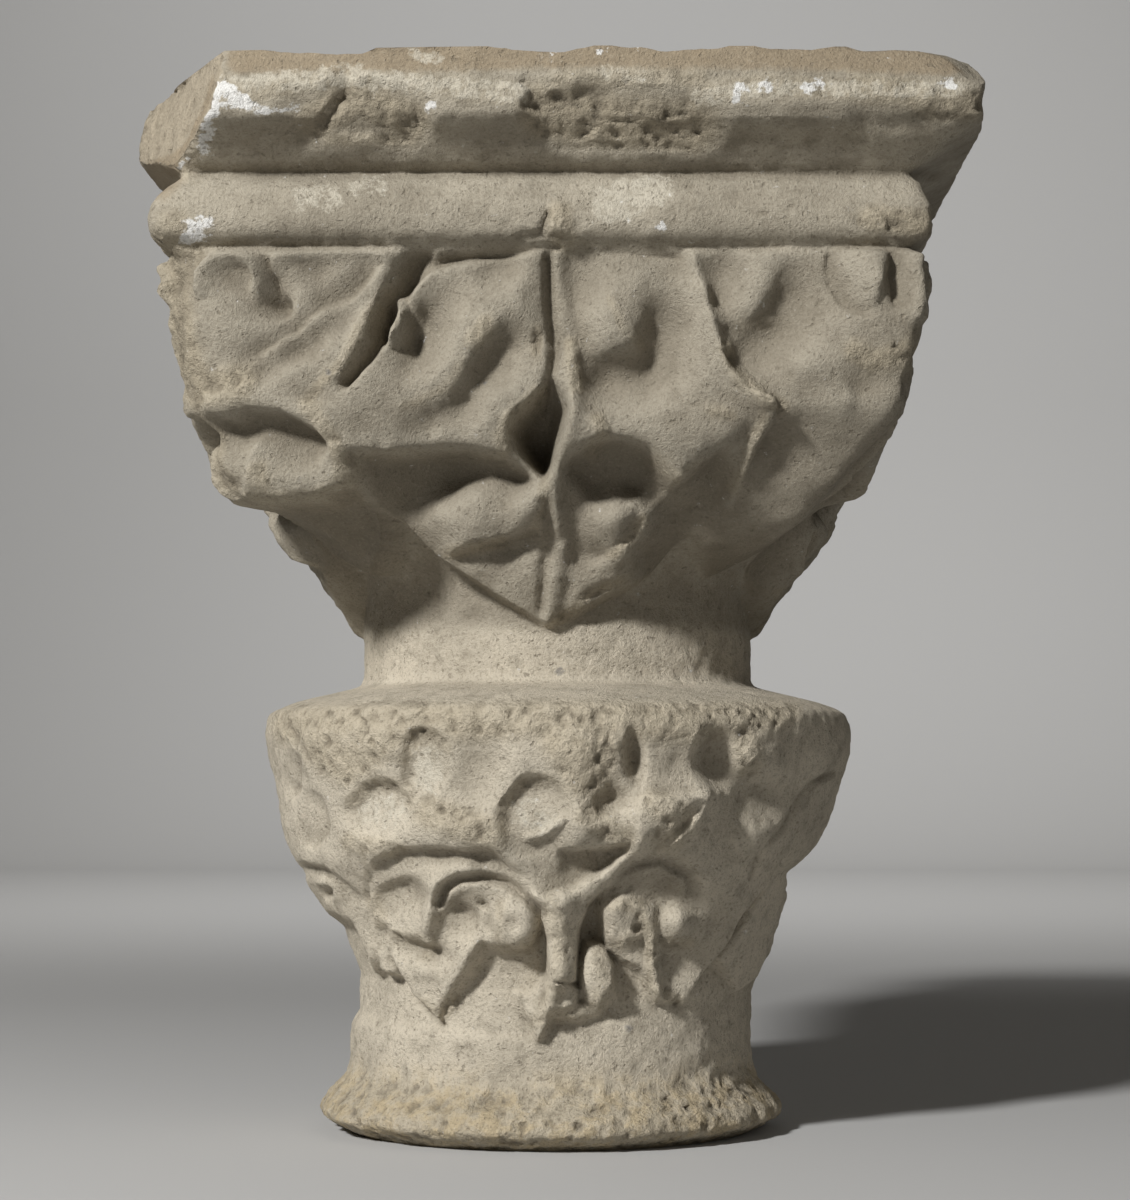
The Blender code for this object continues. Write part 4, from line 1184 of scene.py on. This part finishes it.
@dataclass
class CarvedBlock:
    """The whole block as one mesh."""

    shape: BlockShape
    camera: PhotoCamera
    columns: int = 900
    rows: int = 640
    triangles: int = 190000
    front_crowding: float = 0.35
    upper_sheet: Box = (140, 230, 820, 430)
    lower_sheet: Box = (250, 680, 620, 400)
    seen_sheet: Box = (120, 30, 880, 1130)
    bell_foot_fade: float = 0.04
    bell_top_fade: float = 0.03
    neck_start: float = -0.05
    neck_end: float = 0.75
    neck_spread: float = 0.5
    neck_spread_end: float = 0.35
    seen_azimuth: float = math.radians(84.0)
    seen_fade: float = 0.2
    front_azimuth: float = math.radians(50.0)
    front_fade: float = 0.06
    hidden_strength: float = 0.8
    hidden_crest: float = 2.0
    side_crest: float = 2.5
    front_crest: float = 20.0
    relief_limits: Pair = (-26.0, 11.0)
    fracture_roughness: float = 0.60
    collar_top: float = 0.028
    collar_fade: float = 0.012
    paler_below_fade: float = 0.008
    weathered_height: float = 0.014
    weathered_fade: float = 0.008
    weathered_share: float = 0.7
    arris_start: float = 0.86
    arris_run: float = 0.10
    swell_azimuth: float = math.radians(-60.0)
    swell_start: float = 0.04
    swell_end: float = 0.01
    foot_gap: float = 0.03
    lump_noise: Noise = (0.0085, 2, 11)
    grit_noise: Noise = (0.0034, 3, 31)
    wave_noise: Noise = (0.045, 2, 51)
    arris_noise: Noise = (0.022, 4, 71)
    crumb_shares: Four = (0.60, 0.60, 0.25, 0.12)
    pit_shares: Triple = (1.1, 0.35, 0.3)
    dressed_share: float = 0.20
    wave_share: float = 0.45
    bed_fades: Pair = (0.0015, 0.0008)
    roughness_height: float = 0.0015
    # Windows and depths of the hollow and crest masks, which the finish turns into painted shade and painted
    # highlight.
    hollow_window: int = 16
    hollow_depth: float = 0.007
    nick_window: int = 4
    nick_depth: float = 0.0014
    nick_share: float = 0.8
    crest_window: int = 6
    crest_depth: float = 0.0016
    foot_top: float = 0.034
    foot_fade: float = 0.02
    bed_tolerance: float = 0.0004
    sharp_angle: float = math.radians(62.0)
    bed_share: float = 0.80
    bed_rings: int = 10
    box_margin: float = 0.00015

    def grid(self) -> tuple[Field, Field]:
        """Azimuth and height of every grid point, with the columns closer together at the front.

        Returns:
            Two arrays of rows by columns.
        """
        even = np.linspace(-math.pi, math.pi, self.columns, endpoint=False)
        azimuth = even - self.front_crowding * np.sin(even)
        return np.meshgrid(azimuth, self.shape.row_heights(self.rows))

    def folded(self, azimuth: Field, repeat: Repeat) -> ThreeFields:
        """Splits azimuth into a face and a place on it; every second face is a mirror image.

        Args:
            azimuth: The azimuth.
            repeat: How many faces go round.

        Returns:
            The azimuth from the middle of its face, the azimuth on the front face, and the azimuth
            in which carving stands out.
        """
        period = 2.0 * math.pi / repeat.value
        face = np.round(azimuth / period)
        offset = azimuth - face * period
        front = np.where(face % 2 == 0, offset, -offset)
        outward = face * period + offset * np.abs(offset) / (0.5 * period)
        return offset, front, outward

    def place(self, radius: Field, azimuth: Field, height: Field) -> Field:
        """Positions of points given by radius, azimuth and height: x = r sin a, y = -r cos a."""
        return np.stack([radius * np.sin(azimuth), -radius * np.cos(azimuth), height], axis=-1)

    def upper_share(self, height: Field) -> Field:
        """How far up the upper bell each height lies: 0 at its foot and 1 under the torus."""
        return (height - self.shape.levels()[Band.UPPER_BELL]) / self.shape.upper_bell_height

    def in_upper_bell(self, height: Field) -> Field:
        """1 on the upper bell, with a short smooth end below and above."""
        share = self.upper_share(height)
        below = smooth_step(share / self.bell_foot_fade + 1.0)
        return below * smooth_step((1.0 - share) / self.bell_top_fade)

    def carve_upper(self, radius: Field, front: Field, height: Field) -> ThreeFields:
        """Carves the upper bell, and draws the bare neck in where no leaf covers it.

        Args:
            radius: The block's radius.
            front: Each point's azimuth on the front face.
            height: Each point's height.

        Returns:
            The new radius, the relief in millimetres and the mask of broken stone.
        """
        sheet = CarvingSheet(*self.upper_sheet)
        leaves = UpperLeaves()
        leaves.carve(sheet)
        columns, rows = self.camera.project(self.place(radius, front, height))
        share = self.upper_share(height)
        leafy = share < self.neck_end
        cover = np.where(leafy, leaves.cover(columns, rows), 1.0)
        in_bell = self.in_upper_bell(height)
        neck = self.shape.neck_radius
        spread = self.neck_spread * smooth_step(share / self.neck_spread_end)
        bare = np.minimum(radius, neck + spread * (radius - neck))
        covered = np.where((share > self.neck_start) & leafy, bare + (radius - bare) * cover, radius)
        relief = sheet.sample(sheet.height, columns, rows) * in_bell * cover
        return covered, relief, sheet.mark("broken", columns, rows) * in_bell * cover

    def carve_lower(self, radius: Field, front: Field, height: Field) -> ThreeFields:
        """Carves the lower capital: sinks the ground between its leaves and lifts their tips.

        Args:
            radius: The block's radius.
            front: Each point's azimuth on the front half.
            height: Each point's height.

        Returns:
            The new radius, the relief in millimetres and the mask of broken stone.
        """
        sheet = CarvingSheet(*self.lower_sheet)
        leaves = LowerLeaves()
        leaves.carve(sheet)
        columns, rows = self.camera.project(self.place(radius, front, height))
        share = (height - self.shape.levels()[Band.LOWER_BELL]) / self.shape.lower_bell_height
        ground = within(share, *leaves.ground_band)
        leafy = sheet.mark("leaf", columns, rows)
        ground *= 1.0 - leafy
        sunk = np.maximum(radius - leaves.ground_depth * MM * ground,
                          np.minimum(radius, self.shape.lower_neck_radius))
        inside = within(share, *leaves.carved_band)
        tips = leaves.tip_rise * leafy * smooth_step((leaves.tip_top - share) / leaves.tip_fade)
        relief = sheet.sample(sheet.height, columns, rows) * inside + tips
        return np.where(inside > 0.0, sunk, radius), relief, sheet.mark("broken", columns, rows) * inside

    def surface(self) -> tuple[Field, dict[str, Field]]:
        """Works out the carved skin.

        Returns:
            Positions as rows by columns by 3, and the masks that the finish reads.
        """
        azimuth, height = self.grid()
        levels = self.shape.levels()
        half_width, corner = self.shape.profile(height)
        offset, upper_front, upper_out = self.folded(azimuth, Repeat.QUARTERS)
        radius = half_width * (1.0 + (corner - 1.0) * self.shape.square_share(offset))
        radius = self.swollen(radius, azimuth, height)
        radius, top_relief, top_broken = self.carve_upper(radius, upper_front, height)
        _, lower_front, lower_out = self.folded(azimuth, Repeat.HALVES)
        radius, low_relief, low_broken = self.carve_lower(radius, lower_front, height)

        damage = AbacusDamage()
        seen = CarvingSheet(*self.seen_sheet)
        damage.mark(seen)
        columns, rows = self.camera.project(self.place(radius, azimuth, height))
        facing = smooth_step((np.cos(azimuth) - math.cos(self.seen_azimuth)) / self.seen_fade)
        radius, fracture = damage.break_corner(radius, azimuth, height, self.shape)
        seen_relief = seen.sample(seen.height, columns, rows) * facing * (1.0 - fracture)

        strength = self.hidden_strength + (1.0 - self.hidden_strength) * facing
        points = self.place(radius, azimuth, height)
        high = height > levels[Band.UPPER_BELL]
        top_relief = np.minimum(top_relief * strength, self.crest_limit(azimuth, facing))
        points[..., :2] += self.push(top_relief + seen_relief * high, upper_out)
        points[..., :2] += self.push(low_relief * strength + seen_relief * ~high, lower_out)

        broken = np.maximum.reduce([
            top_broken, low_broken, seen.mark("broken", columns, rows) * facing,
            self.fracture_roughness * fracture,
            smooth_step((self.collar_top - height) / self.collar_fade),
        ])
        points, pits = self.roughened(points, azimuth, height, broken)
        masks = self.masks(np.hypot(points[..., 0], points[..., 1]) - radius, height, fracture)
        masks["broken"] = broken
        masks["bell"] = self.in_upper_bell(height) * high
        # 1 below the upper bell, where the finish is paler.
        masks["paler_below"] = smooth_step((levels[Band.UPPER_BELL] - height) / self.paler_below_fade + 0.5)
        # How deep each point lies in a pit of the break, which the finish darkens as painted shade.
        masks["pits"] = pits
        for name in ("plaster", "pale", "grey", "brown"):
            masks[name] = seen.mark(name, columns, rows) * facing
        masks["brown"] = np.maximum(masks["brown"], self.weathering(height, facing))
        return points, masks

    def crest_limit(self, azimuth: Field, facing: Field) -> Field:
        """How far carving may stand out: little behind, more at the sides and freely in front.

        Args:
            azimuth: Each point's azimuth.
            facing: 1 on the seen side and 0 behind.

        Returns:
            The limit in millimetres.
        """
        ahead = smooth_step((self.front_azimuth - np.abs(azimuth)) / self.front_fade)
        return (self.hidden_crest + self.side_crest * smooth_step(facing * 2.0 - 0.5)
                + self.front_crest * ahead)

    def wear_top(self, points: Field) -> None:
        """Lowers the top arris unevenly, the right front corner more, and keeps all inside the CAD box.

        Args:
            points: Positions, changed in place.
        """
        top = self.shape.levels()[Band.TOP]
        half = self.shape.abacus_half_width
        flat = points.reshape(-1, 3)
        waves = layered_noise(flat * (1.0, 1.0, 0.0), *self.arris_noise).reshape(points.shape[:2])
        corner = np.hypot(points[..., 0] - half, points[..., 1] + half)
        lost = self.shape.arris_wear * np.clip(0.5 + waves, 0.0, 2.0)
        near_corner = smooth_step(1.0 - corner / self.shape.corner_loss_reach)
        lost += self.shape.corner_loss * near_corner * (1.0 + 0.3 * waves)
        outward = np.max(np.abs(points[..., :2]), axis=-1) / half
        lost *= smooth_step((outward - self.arris_start) / self.arris_run)
        points[..., 2] = np.minimum(points[..., 2], top - lost)
        low, high = np.array(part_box(NODE))[:, :2]
        points[..., :2] = np.clip(points[..., :2], low + self.box_margin, high - self.box_margin)

    def weathering(self, height: Field, facing: Field) -> Field:
        """Brown weathering of the fillet on the sides that are not seen."""
        start = self.shape.levels()[Band.TOP] - self.weathered_height
        return self.weathered_share * smooth_step((height - start) / self.weathered_fade) * (1.0 - facing)

    def swollen(self, radius: Field, azimuth: Field, height: Field) -> Field:
        """Adds what is uneven in the block: a fuller left side above, and a foot a little off the axis."""
        levels = self.shape.levels()
        leftward = np.clip(np.cos(azimuth - self.swell_azimuth), 0.0, 1.0) ** 2
        rise = smooth_step((height - levels[Band.UPPER_BELL]) / self.swell_start - 0.5)
        rise *= smooth_step((levels[Band.CHAMFER] - height) / self.swell_end)
        foot = smooth_step((levels[Band.LEDGE] - self.foot_gap - height) / self.foot_gap)
        shift = self.shape.foot_shift * np.sin(azimuth) * foot
        return radius + self.shape.left_swell * leftward * rise - shift

    def push(self, relief: Field, outward: Field) -> Field:
        """Turns carving heights in millimetres into level offsets in metres along their outward azimuth."""
        limited = np.clip(relief, *self.relief_limits) * MM
        return np.stack([limited * np.sin(outward), -limited * np.cos(outward)], axis=-1)

    def roughened(self, points: Field, azimuth: Field, height: Field,
                  broken: Field) -> tuple[Field, Field]:
        """Moves points in and out by noise, strongly on broken stone and faintly elsewhere.

        Args:
            points: Positions.
            azimuth: Their azimuth.
            height: Their height.
            broken: The mask of broken stone.

        Returns:
            The moved positions, and how deep each lies in a pit of the break.
        """
        flat = points.reshape(-1, 3)
        lumps = layered_noise(flat, *self.lump_noise).reshape(broken.shape)
        grit = layered_noise(flat, *self.grit_noise).reshape(broken.shape)
        wave = layered_noise(flat, *self.wave_noise).reshape(broken.shape)
        lump_share, grit_share, ridge_loss, sunk = self.crumb_shares
        crumb = lump_share * lumps + grit_share * grit - ridge_loss * np.abs(grit) - sunk
        dressed = self.dressed_share * grit + self.dressed_share * lumps
        low_fade, top_fade = self.bed_fades
        inner = within(height, 0.0, low_fade, self.shape.levels()[Band.TOP], top_fade)
        uneven = broken * crumb + (1.0 - broken) * dressed + self.wave_share * wave
        shift = self.roughness_height * inner * uneven
        pit_grit, threshold, pit_lumps = self.pit_shares
        moved = points.copy()
        moved[..., 0] += shift * np.sin(azimuth)
        moved[..., 1] -= shift * np.cos(azimuth)
        return moved, np.clip(-pit_grit * grit - threshold - pit_lumps * lumps, 0.0, 1.0) * broken

    def masks(self, cut: Field, height: Field, fracture: Field) -> dict[str, Field]:
        """Works out what the finish reads off the form itself: it darkens the hollows as painted shade and
        lightens the crests as painted highlight.

        Args:
            cut: How far each point stands out from the uncarved block.
            height: The height of each point.
            fracture: The mask of the broken corner.

        Returns:
            Masks by name, each as rows by columns.
        """
        deep = np.clip((blurred(cut, self.hollow_window) - cut) / self.hollow_depth, 0.0, 1.0)
        fine = np.clip((blurred(cut, self.nick_window) - cut) / self.nick_depth, 0.0, 1.0)
        return {
            "hollow": np.maximum(deep, self.nick_share * fine),
            "crest": np.clip((cut - blurred(cut, self.crest_window)) / self.crest_depth, 0.0, 1.0),
            "fracture": fracture,
            "foot": smooth_step((self.foot_top - height) / self.foot_fade),
        }

    def mesh(self) -> bpy.types.Mesh:
        """Puts the skin into a closed mesh: quads between the rows, rings on top, and a fan on each bed.

        Returns:
            The dense mesh.
        """
        points, masks = self.surface()
        shares = np.linspace(1.0, self.bed_share, self.bed_rings + 1)[1:, None, None]
        top = np.array([0.0, 0.0, self.shape.levels()[Band.TOP]])
        points = np.concatenate([points, points[-1:] * (1.0, 1.0, 0.0) * shares + top])
        self.wear_top(points)
        rows, columns = points.shape[:2]
        corners = np.concatenate([points.reshape(-1, 3), [[0.0, 0.0, 0.0]], [top]])
        around = np.arange(columns)
        after = (around + 1) % columns
        starts = np.arange(rows - 1)[:, None] * columns
        quads = np.stack([starts + around, starts + after, starts + columns + after,
                          starts + columns + around], axis=-1).reshape(-1, 4)
        last = (rows - 1) * columns
        middle = rows * columns
        bottom_fan = np.stack([after, around, np.full(columns, middle)], axis=-1)
        top_fan = np.stack([last + around, last + after, np.full(columns, middle + 1)], axis=-1)
        loops = np.concatenate([quads.ravel(), bottom_fan.ravel(), top_fan.ravel()])
        sizes = np.concatenate([np.full(len(quads), 4), np.full(2 * columns, 3)])
        mesh = bpy.data.meshes.new("dense_block")
        mesh.vertices.add(len(corners))
        mesh.vertices.foreach_set("co", corners.astype(np.float32).ravel())
        mesh.loops.add(len(loops))
        mesh.loops.foreach_set("vertex_index", loops.astype(np.int32))
        mesh.polygons.add(len(sizes))
        mesh.polygons.foreach_set("loop_start", (np.cumsum(sizes) - sizes).astype(np.int32))
        mesh.update(calc_edges=True)
        for name, values in masks.items():
            layer = mesh.attributes.new(name, "FLOAT", "POINT")
            bed = np.repeat(values[-1:], self.bed_rings, axis=0)
            spread = np.append(np.concatenate([values, bed]), [0.0, 0.0])
            layer.data.foreach_set("value", spread.astype(np.float32))
        return mesh

    def build(self, finish: bpy.types.Material) -> bpy.types.Object:
        """Thins the dense mesh, squares its beds and makes the block's object.

        Args:
            finish: The stone.

        Returns:
            The block.
        """
        dense = bpy.data.objects.new("dense_block", self.mesh())
        bpy.context.scene.collection.objects.link(dense)
        thin = dense.modifiers.new("Thin", "DECIMATE")
        thin.ratio = self.triangles / (2.0 * self.rows * self.columns)
        graph = bpy.context.evaluated_depsgraph_get()
        mesh = bpy.data.meshes.new_from_object(dense.evaluated_get(graph))
        bpy.data.objects.remove(dense, do_unlink=True)
        mesh.name = "carved_block"
        self.square_beds(mesh)
        mesh.shade_smooth()
        mesh.set_sharp_from_angle(angle=self.sharp_angle)
        mesh.materials.append(finish)
        block = bpy.data.objects.new("carved_block", mesh)
        bpy.context.scene.collection.objects.link(block)
        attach(block, "root")
        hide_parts(NODE)
        LOG.info("carved_block: %d triangles", len(mesh.polygons))
        return block

    def square_beds(self, mesh: bpy.types.Mesh) -> None:
        """Sets the points of both beds exactly level."""
        places = np.empty(len(mesh.vertices) * 3, np.float32)
        mesh.vertices.foreach_get("co", places)
        places = places.reshape(-1, 3)
        top = self.shape.levels()[Band.TOP]
        places[np.abs(places[:, 2]) < self.bed_tolerance, 2] = 0.0
        places[np.abs(places[:, 2] - top) < self.bed_tolerance, 2] = top
        mesh.vertices.foreach_set("co", places.ravel())
        mesh.update()


class Signal:
    """A shader socket that takes part in Python arithmetic."""

    def __init__(self, graph: "Graph", socket: bpy.types.NodeSocket) -> None:
        """Wraps a socket of a graph."""
        self.graph = graph
        self.socket = socket

    def _math(self, operation: str, first: "Signal | float", second: "Signal | float") -> "Signal":
        """Adds one Math node."""
        return self.graph.node("ShaderNodeMath", {"operation": operation}, {0: first, 1: second})

    def __add__(self, other: "Signal | float") -> "Signal":
        """Sum."""
        return self._math("ADD", self, other)

    __radd__ = __add__

    def __mul__(self, other: "Signal | float") -> "Signal":
        """Product."""
        return self._math("MULTIPLY", self, other)

    __rmul__ = __mul__

    def __sub__(self, other: "Signal | float") -> "Signal":
        """Difference."""
        return self._math("SUBTRACT", self, other)

    def __rsub__(self, other: "Signal | float") -> "Signal":
        """Reflected difference."""
        return self._math("SUBTRACT", other, self)

    def ramp(self, low: float, high: float) -> "Signal":
        """Stretches low..high to 0..1 smoothly, and holds it there."""
        settings = {"interpolation_type": "SMOOTHSTEP"}
        inputs = {"Value": self, "From Min": low, "From Max": high}
        return self.graph.node("ShaderNodeMapRange", settings, inputs)


class Graph:
    """The node tree of one material."""

    def __init__(self, name: str) -> None:
        """Starts a material with only its output and its principled shader."""
        self.material = bpy.data.materials.new(name)
        self.material.use_nodes = True
        self.tree = self.material.node_tree
        self.shader = self.tree.nodes["Principled BSDF"]

    def node(self, kind: str, settings: dict[str, object], inputs: dict[str | int, object],
             output: str | int = 0) -> Signal:
        """Adds any node: settings first, then its sockets' values or links.

        Args:
            kind: The node's type name.
            settings: Its properties.
            inputs: Its sockets, by name or number.
            output: Which output to return.

        Returns:
            The chosen output.
        """
        node = self.tree.nodes.new(kind)
        for name, value in settings.items():
            setattr(node, name, value)
        for name, value in inputs.items():
            self.feed(node.inputs[name], value)
        return Signal(self, node.outputs[output])

    def feed(self, socket: bpy.types.NodeSocket, value: object) -> None:
        """Links a signal to a socket, or sets the socket's own value."""
        if isinstance(value, Signal):
            self.tree.links.new(value.socket, socket)
        else:
            socket.default_value = value

    def mask(self, name: str) -> Signal:
        """Reads one of the mesh's masks."""
        return self.node("ShaderNodeAttribute", {"attribute_name": name}, {}, "Fac")

    def noise(self, scale: float, detail: float, rough: float = 0.55) -> Signal:
        """Noise on object coordinates, in cells per metre."""
        where = self.node("ShaderNodeTexCoord", {}, {}, "Object")
        return self.node("ShaderNodeTexNoise", {}, {"Vector": where, "Scale": scale, "Detail": detail,
                                                    "Roughness": rough})

    def mix(self, share: Signal | float, first: object, second: object) -> Signal:
        """Blends two colours."""
        inputs = {0: share, 6: first, 7: second}
        return self.node("ShaderNodeMix", {"data_type": "RGBA", "clamp_factor": True}, inputs, 2)


@dataclass(frozen=True)
class StoneFinish:
    """Weathered limestone: warm grey, mottled and stained, matt, with a fine grain, painted shade in its
    hollows and pits, and painted highlight on its crests.
    """

    light: Four = (0.42, 0.375, 0.295, 1.0)
    dull: Four = (0.30, 0.265, 0.205, 1.0)
    broken: Four = (0.46, 0.39, 0.275, 1.0)
    brown: Four = (0.30, 0.235, 0.155, 1.0)
    beige: Four = (0.38, 0.32, 0.235, 1.0)
    # The paler tone of the neck and the lower capital.
    paler_below: Four = (0.60, 0.535, 0.425, 1.0)
    # Dark grime, and also the painted shade of the hollows and the pits.
    grime_and_shade: Four = (0.17, 0.145, 0.105, 1.0)
    plaster: Four = (0.78, 0.77, 0.74, 1.0)
    # Pale stone, and also the painted highlight of the crests and the painted light in the bowls.
    pale: Four = (0.60, 0.555, 0.455, 1.0)
    grey: Four = (0.15, 0.15, 0.155, 1.0)
    ochre: Four = (0.50, 0.395, 0.235, 1.0)
    roughness: float = 0.9
    shine: float = 0.2
    cloud_scale: float = 22.0
    mottle_scale: float = 130.0
    ragged_scale: float = 300.0
    coarse_scale: float = 400.0
    speck_scale: float = 430.0
    grain_scale: float = 850.0
    grain_depth: float = 0.0020
    grain_strength: float = 0.8

    def build(self) -> bpy.types.Material:
        """Makes the material.

        Returns:
            The stone.
        """
        graph = Graph("limestone")
        clouds = graph.noise(self.cloud_scale, 5.0)
        mottle = graph.noise(self.mottle_scale, 6.0, 0.65)
        grain = graph.noise(self.grain_scale, 4.0, 0.75)
        ragged = graph.noise(self.ragged_scale, 4.0, 0.7) - 0.5
        specks = graph.noise(self.speck_scale, 2.0, 0.5).ramp(0.63, 0.72)
        broken = graph.mask("broken")
        colour = graph.mix(clouds.ramp(0.36, 0.66), self.dull, self.light)
        colour = graph.mix(graph.mask("bell") * 0.65, colour, self.dull)
        # Paler on the neck and the lower capital.
        colour = graph.mix(graph.mask("paler_below") * (0.15 + 1.3 * clouds), colour, self.paler_below)
        colour = graph.mix((1.0 - mottle).ramp(0.46, 0.70) * 0.40, colour, self.grime_and_shade)
        colour = graph.mix(broken * (0.25 + 0.5 * mottle), colour, self.broken)
        # Painted highlight: the crests are lightened towards pale.
        colour = graph.mix(graph.mask("crest") * 0.15, colour, self.pale)
        colour = graph.mix(graph.mask("foot") * mottle.ramp(0.42, 0.60) * 0.6, colour, self.ochre)
        colour = graph.mix(graph.mask("fracture") * 0.7, colour, self.beige)
        colour = graph.mix((graph.mask("brown") + 0.8 * ragged).ramp(0.1, 1.0) * 0.8, colour, self.brown)
        # Painted shade with some grime: the hollows are darkened by their depth.
        colour = graph.mix(graph.mask("hollow") * 0.60, colour, self.grime_and_shade)
        # Painted shade: the pits of broken stone are darkened.
        colour = graph.mix(graph.mask("pits") * 0.75, colour, self.grime_and_shade)
        # Pale, grey and plaster stains; the pale mask also paints light into the bowls.
        for name, torn, low, share, tint in (("pale", 2.2, 0.45, 0.65, self.pale),
                                             ("grey", 1.2, 0.45, 0.7, self.grey),
                                             ("plaster", 3.2, 0.50, 0.9, self.plaster)):
            colour = graph.mix((graph.mask(name) + torn * ragged).ramp(low, 0.95) * share, colour, tint)
        colour = graph.mix((1.0 - grain).ramp(0.48, 0.70) * 0.55, colour, self.grime_and_shade)
        colour = graph.mix(grain.ramp(0.54, 0.74) * 0.25, colour, self.pale)
        colour = graph.mix(specks * 0.45, colour, self.grime_and_shade)
        graph.feed(graph.shader.inputs["Base Color"], colour)
        graph.feed(graph.shader.inputs["Roughness"], self.roughness)
        graph.feed(graph.shader.inputs["Specular IOR Level"], self.shine)
        coarse = graph.noise(self.coarse_scale, 5.0, 0.65)
        relief = 0.70 * grain + 0.5 * mottle + broken * (0.3 * mottle + 1.3 * coarse) - 0.22 * specks
        bump = graph.node("ShaderNodeBump", {}, {"Strength": self.grain_strength,
                                                 "Distance": self.grain_depth, "Height": relief})
        graph.feed(graph.shader.inputs["Normal"], bump)
        return graph.material


@dataclass
class Studio:
    """A pale swept floor, soft light from the upper left, and a lamp that lightens the wall behind."""

    floor_depth: float = 3.0
    floor_width: float = 6.0
    sweep_radius: float = 0.8
    wall_height: float = 3.0
    floor_colour: Four = (0.46, 0.455, 0.445, 1.0)
    floor_roughness: float = 0.9
    key_place: Triple = (-1.12, -1.66, 1.32)
    key_power: float = 275.0
    key_size: float = 0.26
    key_cone: float = math.radians(75.0)
    wall_lamp_place: Triple = (0.0, 0.9, 2.2)
    wall_lamp_power: float = 42.0
    wall_lamp_spread: float = math.radians(125.0)
    wall_lamp_size: float = 2.0
    fill_place: Triple = (1.5, -1.5, 1.2)
    fill_power: float = 3.5
    fill_size: float = 1.5
    sky_strength: float = 0.048
    sky_colour: Four = (1.0, 0.93, 0.80, 1.0)

    def floor(self) -> bpy.types.Object:
        """A flat floor that bends up into a wall: straight, then a quarter circle, then straight.

        Returns:
            The floor.
        """
        turn = np.linspace(0.0, 0.5 * math.pi, 24)
        along = np.concatenate([[-self.floor_depth], self.floor_depth + self.sweep_radius * np.sin(turn),
                                [self.floor_depth + self.sweep_radius]])
        up = np.concatenate([[0.0], self.sweep_radius * (1.0 - np.cos(turn)), [self.wall_height]])
        across = np.array([-0.5, 0.5]) * self.floor_width
        x, y = np.meshgrid(across, along)
        z = np.repeat(up[:, None], 2, axis=1)
        points = np.stack([x, y, z], axis=-1).reshape(-1, 3)
        start = np.arange(len(along) - 1) * 2
        faces = np.stack([start, start + 1, start + 3, start + 2], axis=-1)
        mesh = bpy.data.meshes.new("floor")
        mesh.from_pydata(points.tolist(), [], faces.tolist())
        mesh.shade_smooth()
        graph = Graph("pale_floor")
        graph.feed(graph.shader.inputs["Base Color"], self.floor_colour)
        graph.feed(graph.shader.inputs["Roughness"], self.floor_roughness)
        mesh.materials.append(graph.material)
        floor = bpy.data.objects.new("floor", mesh)
        bpy.context.scene.collection.objects.link(floor)
        return floor

    def lamp(self, name: str, place: Triple, power: float, size: float,
             target: Triple = (0.0, 0.0, 0.2), cone: float | None = None,
             spread: float = math.pi) -> None:
        """A lamp that faces a target: a spot where it has a cone, or else an area lamp.

        Args:
            name: Its name.
            place: Where it stands.
            power: Watts.
            size: Its width in metres.
            target: What it faces.
            cone: The full angle of a spot, in radians.
            spread: The full angle of an area lamp, in radians.
        """
        data = bpy.data.lights.new(name, "SPOT" if cone else "AREA")
        data.energy = power
        if cone:
            data.shadow_soft_size = 0.5 * size
            data.spot_size = cone
            data.spot_blend = 0.8
        else:
            data.size = size
            data.spread = spread
        lamp = bpy.data.objects.new(name, data)
        lamp.location = place
        lamp.rotation_euler = (Vector(target) - Vector(place)).to_track_quat("-Z", "Y").to_euler()
        bpy.context.scene.collection.objects.link(lamp)

    def build(self) -> None:
        """Sets up floor, lamps and sky."""
        self.floor()
        self.lamp("key", self.key_place, self.key_power, self.key_size, cone=self.key_cone)
        self.lamp("fill", self.fill_place, self.fill_power, self.fill_size)
        wall = (0.0, self.floor_depth + self.sweep_radius, self.sweep_radius)
        self.lamp("wall_lamp", self.wall_lamp_place, self.wall_lamp_power, self.wall_lamp_size, wall,
                  spread=self.wall_lamp_spread)
        world = bpy.data.worlds.new("studio")
        world.use_nodes = True
        sky = world.node_tree.nodes["Background"]
        sky.inputs["Color"].default_value = self.sky_colour
        sky.inputs["Strength"].default_value = self.sky_strength
        bpy.context.scene.world = world


def main() -> None:
    """Builds the camera, the studio and the block."""
    bpy.context.scene.view_settings.view_transform = "Standard"
    logging.basicConfig(level=logging.INFO, format="%(message)s")
    camera = PhotoCamera()
    camera.build()
    Studio().build()
    CarvedBlock(BlockShape(), camera).build(StoneFinish().build())


if __name__ == "__main__":
    main()
